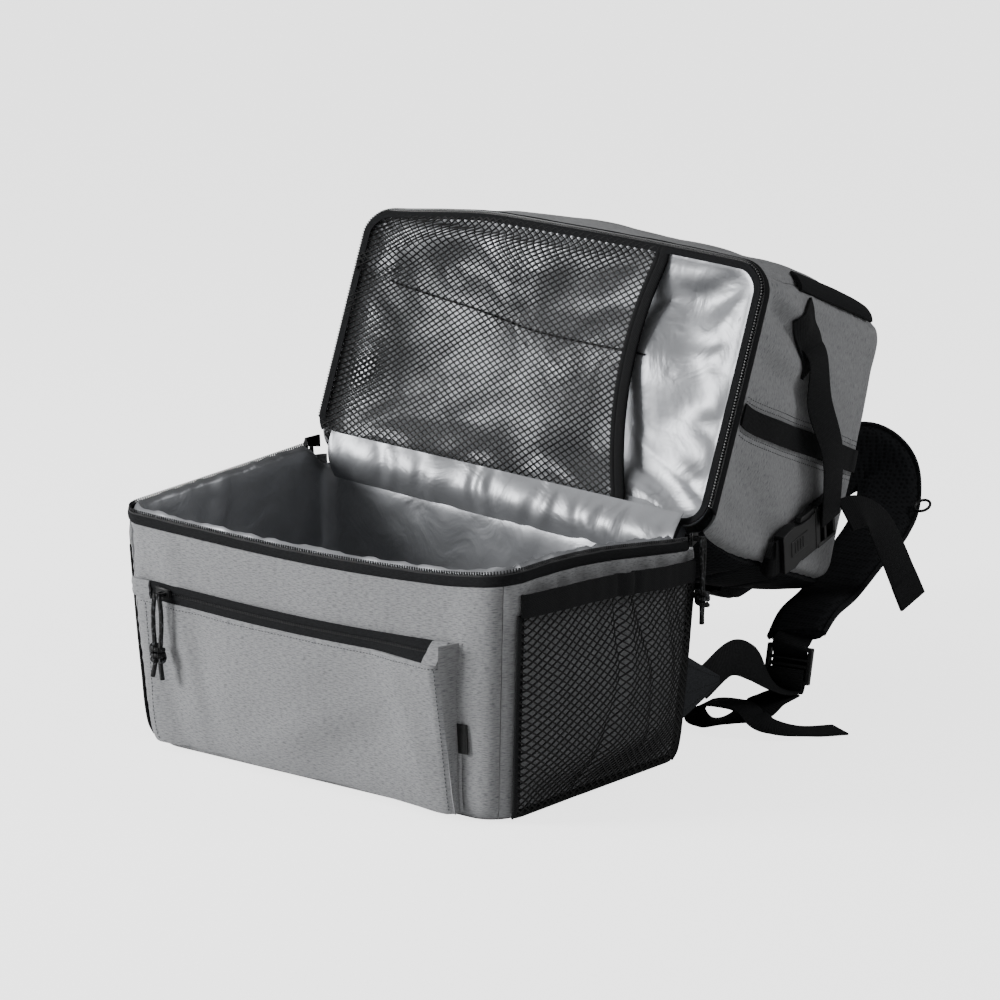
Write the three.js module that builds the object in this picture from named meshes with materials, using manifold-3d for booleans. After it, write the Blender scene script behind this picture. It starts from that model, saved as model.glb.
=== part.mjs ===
// A soft cooler backpack, standing open on the floor: the lower half is an insulated box with an open top,
// and the upper half is folded back behind it on a cloth hinge, so that its silver underside shows.
// Millimetres, +X to the bag's right as seen from the front, +Y towards the wearer, +Z up.
// The origin is the middle of the lower half's base, on the floor.

import * as THREE from "three";
import { mergeVertices } from "three/addons/utils/BufferGeometryUtils.js";
import Module from "manifold-3d";

const wasm = await Module();
wasm.setup();

// Driving dimensions
const WIDTH = 336; // across the wearer's shoulders
const DEPTH = 212; // front panel to back panel of the lower half
const LOWER_HEIGHT = 161; // floor to the zip teeth at the front
const UPPER_DEPTH = 182; // front to back of the upper half, whose sides curve in
const UPPER_LENGTH = 190; // zip teeth to the bag's top, along the closed bag's front
const BACK_FLARE = 16; // how much longer its back is
const CORNER_RADIUS = 21; // upright corners of both halves
const OPENING_ANGLE = 107.2; // how far the upper half is folded back from closed
const OPENING_ROLL = 5; // its right side hangs lower than its left
const OPENING_YAW = 3.6;
const HINGE_RISE = 8; // hinge above the front of the zip
const HINGE_INSET = 9; // hinge in front of the lower back panel

// Layers
const GAP = 0.3; // between pieces that touch
const LINING_GAP = 0.9; // between the shell and its lining
const CLOTH = 2; // outer cloth with its backing
const INSULATION = 7; // foam and foil wall of the cooler
const FLOOR_PAD = 11; // foam under the cooler's floor
const LOWER_PAD = 11; // padded back panel of the lower half
const UPPER_PAD = 17; // padded back panel of the upper half
const NET_THICKNESS = 1.2;

// Zips
const TAPE_HEIGHT = 12; // black tape between the cloth's edge and the teeth
const TAPE_THICKNESS = 1.4;
const TEETH_WIDTH = 4;
const TEETH_HEIGHT = 2.4;
const SLIDER_LENGTH = 12;
const SLIDER_WIDTH = 9;
const SLIDER_THICKNESS = 4.5;
const PULL_CORD = 3.2; // diameter of the pull's cord
const PULL_DROP = 34; // slider's eye to the knot
const PULL_TAIL = 13; // cord ends below the knot
const KNOT_RADIUS = 5;

// Front pocket
const POCKET_WIDTH = 284; // at its zip
const POCKET_FOOT_WIDTH = 291;
const POCKET_LEFT_MARGIN = 14; // from the front panel's left seam
const POCKET_FOOT = 6; // above the floor
const POCKET_TOP = 104;
const POCKET_ZIP_WIDTH = 12;
const POCKET_SLIDER_RUN = 27; // its slider from the pocket's left edge
const POCKET_CLOTH = 1.6;
const POCKET_FOLD_DEPTH = 12; // how far its right edge stands out at the top
const POCKET_PUFF = 4; // how far its middle stands out
const END_TAB_LENGTH = 13;
const LABEL_WIDTH = 8;
const LABEL_HEIGHT = 19;
const LABEL_RISE = 45;
const LABEL_THICKNESS = 0.8;

// Side net pockets
const NET_FOOT = 5;
const NET_DROP = 29; // from the zip teeth down to the net's mouth
const NET_TOP = LOWER_HEIGHT - NET_DROP;
const NET_MARGIN = 11; // from each upright seam
const NET_BULGE = 15; // how far the net stands off the side
const NET_MOUTH = 8; // how far its elastic binding stands off
const NET_BINDING_HEIGHT = 13;
const NET_BINDING_THICKNESS = 2;

// Upper half
const LID_RECESS = 22; // silver panel above the zip line
const LID_PANEL_THICKNESS = 3;
const LID_NET_WIDTH = 238;
const LID_NET_CURVE = 16; // how far the ends of its bound edge curve to the right
const LID_NET_RISE = 4; // net above the zip line
const LID_BINDING_WIDTH = 8;
const TOP_CROWN = 18; // swell of the bag's top
const FRONT_CROWN = 15; // swell of the front panel
const CORNER_DROOP = 9; // how far the zip line's front left corner droops towards the hinge
const TOP_ZIP_WIDTH = 10;
const TOP_ZIP_THICKNESS = 3;
const SIDE_BAND_WIDTH = 15;
const SIDE_BAND_THICKNESS = 1.6;

// Straps
const STRAP_WIDTH = 25; // compression strap
const WEBBING_THICKNESS = 1.6;
const STRAP_TAIL = 95; // its loose end
const BUCKLE_LENGTH = 72;
const BUCKLE_WIDTH = 33;
const BUCKLE_THICKNESS = 8;
const SHOULDER_WIDTH = 54;
const SHOULDER_END_WIDTH = 44;
const SHOULDER_THICKNESS = 10;
const SHOULDER_SWING = 180; // how far the shoulder strap swings out behind the bag
const ANCHOR_WIDTH = 25; // webbing at the strap's lower end
const TAB_HEIGHT = 48; // cloth triangle that holds the anchor webbing
const TAB_REACH = 44;
const TAB_RISE = 51; // its middle above the floor
const TAB_THICKNESS = 3;
const LOCK_DISTANCE = 86; // tab's tip to the ladder lock
const LOCK_LENGTH = 26;
const LOCK_WIDTH = 33;
const LOCK_THICKNESS = 7;
const TAIL_REACH = 100; // how far the webbing's loose end wanders

const { lerp, degToRad, clamp, smoothstep } = THREE.MathUtils;
const at = (x, y, z) => new THREE.Vector3(x, y, z);

// How the halves' sections change. Widths and depths are shares of WIDTH and of DEPTH or UPPER_DEPTH;
// rise is a share of the height, from the floor or from the zip. back is how far the back panel stands out.
const LOWER_SECTIONS = [
  { rise: 0, width: 0.89, depth: 0.86 },
  { rise: 0.03, width: 0.93, depth: 0.91 },
  { rise: 0.1, width: 0.948, depth: 0.94 },
  { rise: 0.28, width: 0.96, depth: 0.957 },
  { rise: 0.46, width: 0.971, depth: 0.971 },
  { rise: 0.64, width: 0.981, depth: 0.981 },
  { rise: 0.8, width: 0.99, depth: 0.99 },
  { rise: 1, width: 1, depth: 1 },
];
const UPPER_SECTIONS = [
  { rise: 0, width: 0.985, depth: 1, back: 0 },
  { rise: 0.1, width: 0.99, depth: 1.06, back: 0.06 },
  { rise: 0.27, width: 1, depth: 1.1, back: 0.09 },
  { rise: 0.45, width: 1, depth: 1.105, back: 0.095 },
  { rise: 0.65, width: 1, depth: 1.11, back: 0.1 },
  { rise: 0.88, width: 0.99, depth: 1.11, back: 0.105 },
  { rise: 0.96, width: 0.965, depth: 1.08, back: 0.09 },
  { rise: 1, width: 0.91, depth: 1.01, back: 0.055 },
];
// How the lower zip line rises and sags round the bag, as shares of LOWER_HEIGHT. Turns 0 to 1 are the
// front, 1 to 2 the right side, 2 to 3 the back and 3 to 4 the left side.
const RIM_LIFTS = [
  { turn: 0, lift: 0.02 },
  { turn: 0.5, lift: -0.022 },
  { turn: 0.85, lift: -0.01 },
  { turn: 1.05, lift: 0.03 },
  { turn: 1.4, lift: 0.045 },
  { turn: 2, lift: 0 },
  { turn: 3, lift: 0 },
  { turn: 4, lift: 0.02 },
];
// Dents: turn and rise are places, wide and high their spread, and deep is a share of the half's depth.
const LOWER_DENTS = [
  { turn: 0.2, rise: 0.42, wide: 0.07, high: 0.2, deep: 0.012 },
  { turn: 0.62, rise: 0.4, wide: 0.12, high: 0.16, deep: 0.01 },
];
const UPPER_DENTS = [
  { turn: 1.12, rise: 0.42, wide: 0.06, high: 0.14, deep: 0.02 },
  { turn: 1.4, rise: 0.45, wide: 0.2, high: 0.12, deep: 0.03 },
  { turn: 1.8, rise: 0.6, wide: 0.1, high: 0.12, deep: 0.025 },
  { turn: 3.6, rise: 0.45, wide: 0.2, high: 0.12, deep: 0.03 },
];

// Reads a column of a table whose rows are in order of key, by straight lines between the rows.
function readTable(rows, key, column, value) {
  const next = rows.findIndex((row) => row[key] >= value);
  if (next === 0) return rows[0][column];
  if (next < 0) return rows[rows.length - 1][column];
  const [a, b] = [rows[next - 1], rows[next]];
  return lerp(a[column], b[column], (value - a[key]) / (b[key] - a[key]));
}

// A rounded rectangle by turn, each side from the middle of one corner's arc to the middle of the next.
// out is the side's outward direction and share the place along the side.
function outline(halfX, halfY, turn) {
  const side = ((Math.floor(turn) % 4) + 4) % 4;
  const share = turn - Math.floor(turn);
  const [half, reach] = side % 2 ? [halfY, halfX] : [halfX, halfY];
  const straight = half - CORNER_RADIUS;
  const arc = (CORNER_RADIUS * Math.PI) / 4;
  const run = (share - 0.5) * 2 * (straight + arc);
  const angle = Math.max(0, Math.abs(run) - straight) / CORNER_RADIUS;
  const along = Math.sign(run) * (Math.min(Math.abs(run), straight) + CORNER_RADIUS * Math.sin(angle));
  const off = reach - CORNER_RADIUS * (1 - Math.cos(angle));
  const heading = (side * Math.PI) / 2;
  const out = at(Math.sin(heading), -Math.cos(heading), 0);
  const point = at(Math.cos(heading), Math.sin(heading), 0).multiplyScalar(along).addScaledVector(out, off);
  return { point, out, share, side };
}

function dentDepth(dents, turn, rise, depth) {
  const wrapped = ((turn % 4) + 4) % 4;
  return dents.reduce((sum, dent) => {
    const across = (wrapped - dent.turn) / dent.wide;
    const up = (rise - dent.rise) / dent.high;
    return sum + depth * dent.deep * Math.exp(-across * across - up * up);
  }, 0);
}

// The lower zip line at a turn: level at the front, and along the rolled hinge at the back.
function rimHeight(turn, point) {
  const wrapped = ((turn % 4) + 4) % 4;
  const back = clamp(point.y / DEPTH + 0.5, 0, 1);
  const hinge = HINGE_RISE - Math.tan(degToRad(OPENING_ROLL)) * point.x;
  return LOWER_HEIGHT * (1 + readTable(RIM_LIFTS, "turn", "lift", wrapped)) + hinge * back;
}

// Outer cloth of the lower half.
function lowerSurface(turn, rise) {
  const halfX = (WIDTH / 2) * readTable(LOWER_SECTIONS, "rise", "width", rise);
  const halfY = (DEPTH / 2) * readTable(LOWER_SECTIONS, "rise", "depth", rise);
  const { point, out, share, side } = outline(halfX, halfY, turn);
  const swell = CLOTH * (side % 2 ? 2 : 1.5);
  const hump = (Math.sin(Math.PI * share) * Math.sin(Math.PI * clamp(rise, 0, 1))) ** 2;
  point.addScaledVector(out, swell * hump - dentDepth(LOWER_DENTS, turn, rise, DEPTH));
  point.z = rise * rimHeight(turn, point);
  return point;
}

// Outer cloth of the upper half, in the closed bag's frame with its origin at the middle of the hinge.
function upperSurface(turn, rise) {
  const halfX = (WIDTH / 2) * readTable(UPPER_SECTIONS, "rise", "width", rise);
  const halfY = (UPPER_DEPTH / 2) * readTable(UPPER_SECTIONS, "rise", "depth", rise);
  const { point, out, share, side } = outline(halfX, halfY, turn);
  const swell = [FRONT_CROWN, CLOTH, 0, CLOTH][side];
  const hump = (1 - Math.abs(2 * share - 1) ** 3) * Math.sin(Math.PI * clamp(rise * 0.85 + 0.05, 0, 1));
  point.addScaledVector(out, swell * hump - dentDepth(UPPER_DENTS, turn, rise, UPPER_DEPTH));
  const fromCorner = Math.abs(turn - 4 * Math.round(turn / 4));
  const droop = CORNER_DROOP * (1 - smoothstep(fromCorner, 0, 0.35)) * (1 - clamp(rise, 0, 1));
  point.y += UPPER_DEPTH * readTable(UPPER_SECTIONS, "rise", "back", rise) + droop - halfY;
  point.z = rise * (UPPER_LENGTH + BACK_FLARE * clamp(1 + point.y / UPPER_DEPTH, 0, 1));
  return point;
}

function normalOf(surface, u, v) {
  const step = 2e-3;
  const alongU = surface(u + step, v).sub(surface(u - step, v));
  const alongV = surface(u, v + step).sub(surface(u, v - step));
  return alongU.cross(alongV).normalize();
}

// A point off a surface along its outward normal.
function offSurface(surface, u, v, distance) {
  return surface(u, v).addScaledVector(normalOf(surface, u, v), distance);
}

const lowerSkin = skin(lowerSurface, LOWER_SECTIONS);
const upperSkin = skin(upperSurface, UPPER_SECTIONS);

// Leaves only merged positions, with the faces outwards by the sign of the volume.
function closed(source) {
  const geometry = source.clone();
  for (const key of Object.keys(geometry.attributes)) if (key !== "position") geometry.deleteAttribute(key);
  const merged = mergeVertices(geometry, 1e-3);
  const index = merged.index.array;
  const corner = (i) => new THREE.Vector3().fromBufferAttribute(merged.attributes.position, index[i]);
  let volume = 0;
  for (let i = 0; i < index.length; i += 3) volume += corner(i).dot(corner(i + 1).cross(corner(i + 2)));
  if (volume < 0)
    for (let i = 0; i < index.length; i += 3) [index[i + 1], index[i + 2]] = [index[i + 2], index[i + 1]];
  merged.computeVertexNormals();
  return merged;
}

function solidFrom(points, triangles) {
  const geometry = new THREE.BufferGeometry();
  const numbers = points.flatMap((p) => [p.x, p.y, p.z]);
  geometry.setAttribute("position", new THREE.Float32BufferAttribute(numbers, 3));
  geometry.setIndex(triangles);
  return closed(geometry);
}

function bandTriangles(rings) {
  const count = rings[0].length;
  const triangles = [];
  for (let ring = 0; ring < rings.length - 1; ring++)
    for (let i = 0; i < count; i++) {
      const [a, b] = [ring * count + i, ring * count + ((i + 1) % count)];
      triangles.push(a, b, b + count, a, b + count, a + count);
    }
  return triangles;
}

// A closed solid through equal rings of points, with a fan at each end round its middle, or round the point
// that hub names, for a ring that has a notch there.
function loft(rings, hub) {
  const count = rings[0].length;
  const points = rings.flat();
  const triangles = bandTriangles(rings);
  const last = (rings.length - 1) * count;
  const ends = [[0, rings[0], true], [last, rings[rings.length - 1], false]];
  for (const [first, ring, turned] of ends) {
    const middle = ring.reduce((sum, p) => sum.add(p), at(0, 0, 0)).divideScalar(count);
    const centre = hub === undefined ? points.push(middle) - 1 : first + hub;
    for (let i = 0; i < count; i++) {
      const [a, b] = [first + i, first + ((i + 1) % count)];
      if (a !== centre && b !== centre) triangles.push(...(turned ? [b, a] : [a, b]), centre);
    }
  }
  return solidFrom(points, triangles);
}

// Evenly spaced values, both ends included.
function even([from, to], pieces) {
  return Array.from({ length: pieces + 1 }, (_, i) => lerp(from, to, i / pieces));
}

// Turns from one to another, with stops on the rounded corners and a few between them. Pieces that lie on
// each other share these stops, so that their facets stay parallel.
function turnStops([from, to]) {
  const stops = [];
  for (let side = Math.floor(from); side < to; side++) {
    const half = (side % 2 ? DEPTH : WIDTH) / 2;
    const arc = (CORNER_RADIUS * Math.PI) / 4;
    const share = arc / (2 * (half - CORNER_RADIUS + arc));
    stops.push(side, side + share / 2, side + 1 - share / 2);
    stops.push(...even([side + share, side + 1 - share], 5));
  }
  return between(stops, [from, to]);
}

// The rises of a table's rows from one to another.
function rowStops(sections, range) {
  return between(sections.map((row) => row.rise), range);
}

// A surface as its panels' flat facets make it, for pieces that lie on those panels.
function skin(surface, sections) {
  const turns = turnStops([0, 4]);
  const rises = sections.map((row) => row.rise);
  const cell = (stops, value) => clamp(stops.findIndex((stop) => stop > value) - 1, 0, stops.length - 2);
  return (turn, rise) => {
    const wrapped = turn - 4 * Math.floor(turn / 4);
    const [i, j] = [cell(turns, wrapped), rise < 1 ? cell(rises, rise) : rises.length - 2];
    const u = (wrapped - turns[i]) / (turns[i + 1] - turns[i]);
    const v = (rise - rises[j]) / (rises[j + 1] - rises[j]);
    const [low, high] = [surface(turns[i], rises[j]), surface(turns[i + 1], rises[j + 1])];
    const corner = v > u ? surface(turns[i], rises[j + 1]) : surface(turns[i + 1], rises[j]);
    const [near, far] = [Math.min(u, v), Math.max(u, v)];
    return low.multiplyScalar(1 - far).addScaledVector(corner, far - near).addScaledVector(high, near);
  };
}

function between(stops, [from, to]) {
  const near = 0.004;
  const inside = stops.filter((stop) => stop > from + near && stop < to - near);
  return [from, ...inside.sort((a, b) => a - b), to];
}

// A sheet on a surface, at the given stops across and up it, between two offsets that may vary over it.
function sheet(surface, stops, rows, inner, outer) {
  const offset = (value, u, v) => (typeof value === "function" ? value(u, v) : value);
  const rings = [];
  for (const u of stops) {
    const side = (value) => rows.map((v) => offSurface(surface, u, v, offset(value, u, v)));
    rings.push([...side(outer), ...side(inner).reverse()]);
  }
  const count = rings[0].length;
  const triangles = bandTriangles(rings);
  const last = (rings.length - 1) * count;
  for (let j = 0; j < rows.length - 1; j++) {
    const [a, b, c, d] = [j, j + 1, count - 2 - j, count - 1 - j];
    triangles.push(b, a, d, b, d, c);
    triangles.push(last + a, last + b, last + d, last + b, last + c, last + d);
  }
  return solidFrom(rings.flat(), triangles);
}

// A strap along a smooth line. Each row holds its place and the way that its face looks.
function ribbon(rows, widths, thickness, steps, padded = false) {
  const line = new THREE.CatmullRomCurve3(rows.map((row) => row.place));
  const faces = new THREE.CatmullRomCurve3(rows.map((row) => row.face));
  const edge = 0.4;
  const shoulder = 0.84;
  const half = [[-1, -edge], [-shoulder, -1], [shoulder, -1], [1, -edge]];
  const turned = half.map(([p, q]) => [-p, -q]);
  const profile = padded ? [...half, ...turned] : [[-1, -1], [1, -1], [1, 1], [-1, 1]];
  const rings = [];
  for (let i = 0; i <= steps; i++) {
    const share = i / steps;
    const centre = line.getPoint(share);
    const tangent = line.getTangent(share);
    const side = tangent.clone().cross(faces.getPoint(share)).normalize();
    const face = side.clone().cross(tangent).normalize();
    side.multiplyScalar(lerp(widths[0], widths[1], share) / 2);
    face.multiplyScalar(thickness / 2);
    rings.push(profile.map(([p, q]) => centre.clone().addScaledVector(side, p).addScaledVector(face, q)));
  }
  return loft(rings);
}

function webbingStrip(rows, width, steps) {
  return ribbon(rows, [width, width], WEBBING_THICKNESS, steps);
}

// A net: a sheet of cells, each pierced by a diamond, on a surface that is given by shares.
function netSheet(surface, columns, rows, thickness) {
  const points = [];
  const triangles = [];
  const place = (u, v) => [0, thickness].map((lift) => points.push(offSurface(surface, u, v, lift)) - 1);
  const wall = ([a, over], [b, overNext]) => triangles.push(a, b, overNext, a, overNext, over);
  const face = (...ends) => {
    triangles.push(...ends.map(([, over]) => over));
    triangles.push(...ends.map(([under]) => under).reverse());
  };
  const [halfU, halfV] = [0.33 / columns, 0.37 / rows];
  for (let i = 0; i < columns; i++)
    for (let j = 0; j < rows; j++) {
      const [u, v] = [(i + 0.5) / columns, (j + 0.5) / rows];
      const [du, dv] = [0.5 / columns, 0.5 / rows];
      const signs = [[-1, -1], [1, -1], [1, 1], [-1, 1]];
      const corners = signs.map(([a, b]) => place(u + a * du, v + b * dv));
      const hole = [place(u, v - halfV), place(u + halfU, v), place(u, v + halfV), place(u - halfU, v)];
      const outside = [j === 0, i === columns - 1, j === rows - 1, i === 0];
      for (let k = 0; k < 4; k++) {
        const next = (k + 1) % 4;
        face(corners[k], corners[next], hole[k]);
        face(corners[next], hole[next], hole[k]);
        wall(hole[next], hole[k]);
        if (outside[k]) wall(corners[k], corners[next]);
      }
    }
  return solidFrom(points, triangles);
}

function toManifold(geometry) {
  const merged = closed(geometry);
  const vertProperties = new Float32Array(merged.attributes.position.array);
  const triVerts = new Uint32Array(merged.index.array);
  return new wasm.Manifold(new wasm.Mesh({ numProp: 3, vertProperties, triVerts }));
}

function fromManifold(solid) {
  const mesh = solid.getMesh();
  const geometry = new THREE.BufferGeometry();
  geometry.setAttribute("position", new THREE.BufferAttribute(new Float32Array(mesh.vertProperties), 3));
  geometry.setIndex(new THREE.BufferAttribute(new Uint32Array(mesh.triVerts), 1));
  geometry.computeVertexNormals();
  return geometry;
}

// Moves a piece that is built round its own origin, with +Y along and +Z the way its face looks.
function placed(geometry, place, along, face) {
  const z = face.clone().normalize();
  const x = along.clone().cross(z).normalize();
  const y = z.clone().cross(x);
  return geometry.applyMatrix4(new THREE.Matrix4().makeBasis(x, y, z).setPosition(place));
}

// Finishes: gray cloth, black webbing, net, foil and moulded plastic
function finish(color, roughness, metalness = 0) {
  return new THREE.MeshStandardMaterial({ color, roughness, metalness });
}
const grayCloth = finish(0x8b8f93, 0.9);
const darkCloth = finish(0x3c4043, 0.9);
const blackWebbing = finish(0x111214, 0.85);
const blackNet = finish(0x17181a, 0.8);
const silverFoil = finish(0xb4b7ba, 0.35, 0.6);
const blackPlastic = finish(0x0e0f10, 0.45);

const backpack = new THREE.Group();
const upper = new THREE.Group();
upper.position.set(0, DEPTH / 2 - HINGE_INSET, LOWER_HEIGHT + HINGE_RISE);
upper.rotation.set(-degToRad(OPENING_ANGLE), degToRad(OPENING_ROLL), degToRad(OPENING_YAW), "ZYX");
upper.updateMatrix();
backpack.add(upper);

function add(parent, name, geometry, material) {
  const mesh = new THREE.Mesh(geometry, material);
  mesh.name = name;
  parent.add(mesh);
}

// The two sides: the left one is the right one's mirror image, and mirrored turns run the other way.
const SIDES = [
  { name: "right", sign: 1, turn: (value) => value },
  { name: "left", sign: -1, turn: (value) => 5 - value },
];
const ordered = (values) => [...values].sort((a, b) => a - b);

// Shares of the lower half's height
const tapeStart = 1 - (TAPE_HEIGHT + TEETH_HEIGHT) / LOWER_HEIGHT;
const teethStart = 1 - TEETH_HEIGHT / LOWER_HEIGHT;
const lowerGap = GAP / LOWER_HEIGHT;
const seam = GAP / WIDTH; // half the gap between two panels, as a share of a side
const zipSpan = [-0.92, 1.92]; // the main zip, from the left back corner round the front to the right one
const backTop = 1 - (HINGE_RISE + HINGE_INSET + CLOTH) / LOWER_HEIGHT; // back panel's top, at the hinge

// The gray shell of the lower half: a panel for each side, sewn at the corners, and the base.
function addLowerShell() {
  const rows = rowStops(LOWER_SECTIONS, [0, tapeStart - lowerGap]);
  const front = sheet(lowerSurface, turnStops([seam, 1 - seam]), rows, -CLOTH, 0);
  add(backpack, "lower_front_panel", front, grayCloth);
  for (const { name, turn } of SIDES) {
    const side = sheet(lowerSurface, turnStops(ordered([turn(1 + seam), turn(2 - seam)])), rows, -CLOTH, 0);
    add(backpack, "lower_side_panel_" + name, side, grayCloth);
  }
  const backRows = rowStops(LOWER_SECTIONS, [0, backTop]);
  const back = sheet(lowerSurface, turnStops([2 + seam, 3 - seam]), backRows, -CLOTH, 0);
  add(backpack, "lower_back_panel", back, darkCloth);
  const [padSpan, padRise] = [[2.12, 2.88], [0.08, 0.72]];
  const [padTurns, padRows] = [turnStops(padSpan), rowStops(LOWER_SECTIONS, padRise)];
  const pad = sheet(lowerSurface, padTurns, padRows, 2 * GAP, padSwell(padSpan, padRise, LOWER_PAD));
  add(backpack, "lower_back_pad", pad, darkCloth);
  const inset = CLOTH + GAP;
  const base = loft([lowerRing(inset, 0, 0), lowerRing(inset, 0, CLOTH)]);
  add(backpack, "lower_base", base, grayCloth);
}

// A pad's outer offset: full in the middle and thin at its edges.
function padSwell([u0, u1], [v0, v1], thickness) {
  return (u, v) => {
    const edge = Math.min(u - u0, u1 - u, v - v0, v1 - v);
    return GAP + lerp(CLOTH, thickness, smoothstep(edge, 0, 0.15));
  };
}

const ringTurns = turnStops([0, 4]).slice(1);

// A ring of the lower half's section, inset from its cloth, at one height.
function lowerRing(inset, rise, height) {
  return ringTurns.map((turn) => {
    const point = offSurface(lowerSurface, turn, rise, -inset);
    return at(point.x, point.y, height);
  });
}

// The lining's top edge: just below the teeth, and under the hinge at the back.
function liningTop(turn) {
  const fromBack = Math.abs(turn - 2.5) - 0.5;
  return lerp(backTop, teethStart - 4 * lowerGap, smoothstep(fromBack, 0, 0.15)) - lowerGap;
}

// The insulated tub inside the shell, open at the top.
function addLining() {
  const outer = CLOTH + LINING_GAP;
  const inner = outer + INSULATION;
  const wall = (inset, rise) => ringTurns.map((turn) => offSurface(lowerSurface, turn, rise(turn), -inset));
  const rises = LOWER_SECTIONS.map((row) => row.rise).filter((rise) => rise > 0.05 && rise < backTop);
  const outside = [...rises.map((rise) => wall(outer, () => rise)), wall(outer, liningTop)];
  const inside = [wall(inner, liningTop), wall(inner, () => 0.46), wall(inner, () => 0.12)];
  const under = lowerRing(outer + CLOTH, 0, CLOTH + GAP);
  const floor = lowerRing(inner + CLOTH, 0.03, CLOTH + GAP + FLOOR_PAD);
  add(backpack, "cooler_lining", loft([under, ...outside, ...inside, floor]), silverFoil);
}

function addLowerZip() {
  const stops = turnStops(zipSpan);
  const tape = sheet(lowerSurface, stops, [tapeStart, teethStart - lowerGap], -TAPE_THICKNESS, 0);
  add(backpack, "lower_zip_tape", tape, blackWebbing);
  const [inner, outer] = [-(TAPE_THICKNESS + TEETH_WIDTH) / 2, (TEETH_WIDTH - TAPE_THICKNESS) / 2];
  add(backpack, "lower_zip_teeth", sheet(lowerSurface, stops, [teethStart, 1], inner, outer), blackPlastic);
}

// Front pocket, in turns across the front panel and shares of the lower half's height
const pocketLeft = POCKET_LEFT_MARGIN / WIDTH;
const pocketFoot = POCKET_FOOT / LOWER_HEIGHT;
const pocketTop = POCKET_TOP / LOWER_HEIGHT;
const pocketZipTop = (POCKET_TOP + POCKET_ZIP_WIDTH) / LOWER_HEIGHT;

// The front panel by millimetres from the pocket's left edge, which grow towards the pocket's wider foot.
function pocketSurface(run, v) {
  const up = clamp((v - pocketFoot) / (pocketTop - pocketFoot), 0, 1);
  const spread = lerp(POCKET_FOOT_WIDTH, POCKET_WIDTH, up) / POCKET_WIDTH;
  return lowerSkin(pocketLeft + (run * spread) / WIDTH, v);
}

// How far the pocket stands off the front panel: nothing at the left and foot, most at the top right.
function pocketPuff(run, v) {
  const across = clamp(run / POCKET_WIDTH, 0, 1);
  const up = clamp((v - pocketFoot) / (pocketTop - pocketFoot), 0, 1);
  const fold = POCKET_FOLD_DEPTH * smoothstep(across, 0.75, 1) * (0.3 + 0.7 * up);
  return fold + POCKET_PUFF * Math.sin(Math.PI * across) * Math.sin(Math.PI * up);
}

function addFrontPocket() {
  const cloth = (run, v) => 2 * GAP + pocketPuff(run, v);
  const over = (base, thickness) => (run, v) => base(run, v) + thickness;
  const rows = rowStops(LOWER_SECTIONS, [pocketFoot, pocketTop - lowerGap]);
  const panel = sheet(pocketSurface, even([0, POCKET_WIDTH], 12), rows, cloth, over(cloth, POCKET_CLOTH));
  add(backpack, "front_pocket", panel, grayCloth);

  // the open fold beside it reaches from the front panel to the pocket's edge
  const foldRun = [POCKET_WIDTH + GAP, POCKET_WIDTH + GAP + 2 * POCKET_CLOTH];
  const foldOuter = (run, v) => GAP + pocketPuff(POCKET_WIDTH, v) + POCKET_CLOTH;
  const foldRows = rowStops(LOWER_SECTIONS, [pocketFoot, pocketZipTop]);
  const fold = sheet(pocketSurface, foldRun, foldRows, GAP, foldOuter);
  add(backpack, "pocket_side_fold", fold, grayCloth);

  // the zip slopes from the front panel down to the pocket's top edge
  const slope = (v) => 1 - clamp((v - pocketTop) / (pocketZipTop - pocketTop), 0, 1);
  const zip = (run, v) => 2 * GAP + pocketPuff(run, pocketTop) * slope(v);
  const tabStart = POCKET_WIDTH - END_TAB_LENGTH;
  const zipRows = even([pocketTop, pocketZipTop], 2);
  const tapeRun = even([0, tabStart - GAP], 10);
  const tape = sheet(pocketSurface, tapeRun, zipRows, zip, over(zip, TAPE_THICKNESS));
  add(backpack, "pocket_zip_tape", tape, blackWebbing);
  const tabRun = even([tabStart, POCKET_WIDTH], 2);
  const tab = sheet(pocketSurface, tabRun, zipRows, zip, over(zip, POCKET_CLOTH));
  add(backpack, "pocket_zip_end_tab", tab, grayCloth);

  const labelRun = [foldRun[1] + GAP, foldRun[1] + GAP + LABEL_WIDTH];
  const labelRise = [LABEL_RISE / LOWER_HEIGHT, (LABEL_RISE + LABEL_HEIGHT) / LOWER_HEIGHT];
  const label = sheet(pocketSurface, labelRun, even(labelRise, 2), 2 * GAP, 2 * GAP + LABEL_THICKNESS);
  add(backpack, "side_label", label, blackWebbing);

  const eyeRise = (pocketTop + pocketZipTop) / 2;
  const lift = GAP + pocketPuff(POCKET_SLIDER_RUN, pocketTop) / 2 + TAPE_THICKNESS + GAP;
  const seat = offSurface(pocketSurface, POCKET_SLIDER_RUN, eyeRise, lift);
  addSlider("pocket", seat, at(-1, 0, 0), normalOf(pocketSurface, POCKET_SLIDER_RUN, eyeRise));
}

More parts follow.
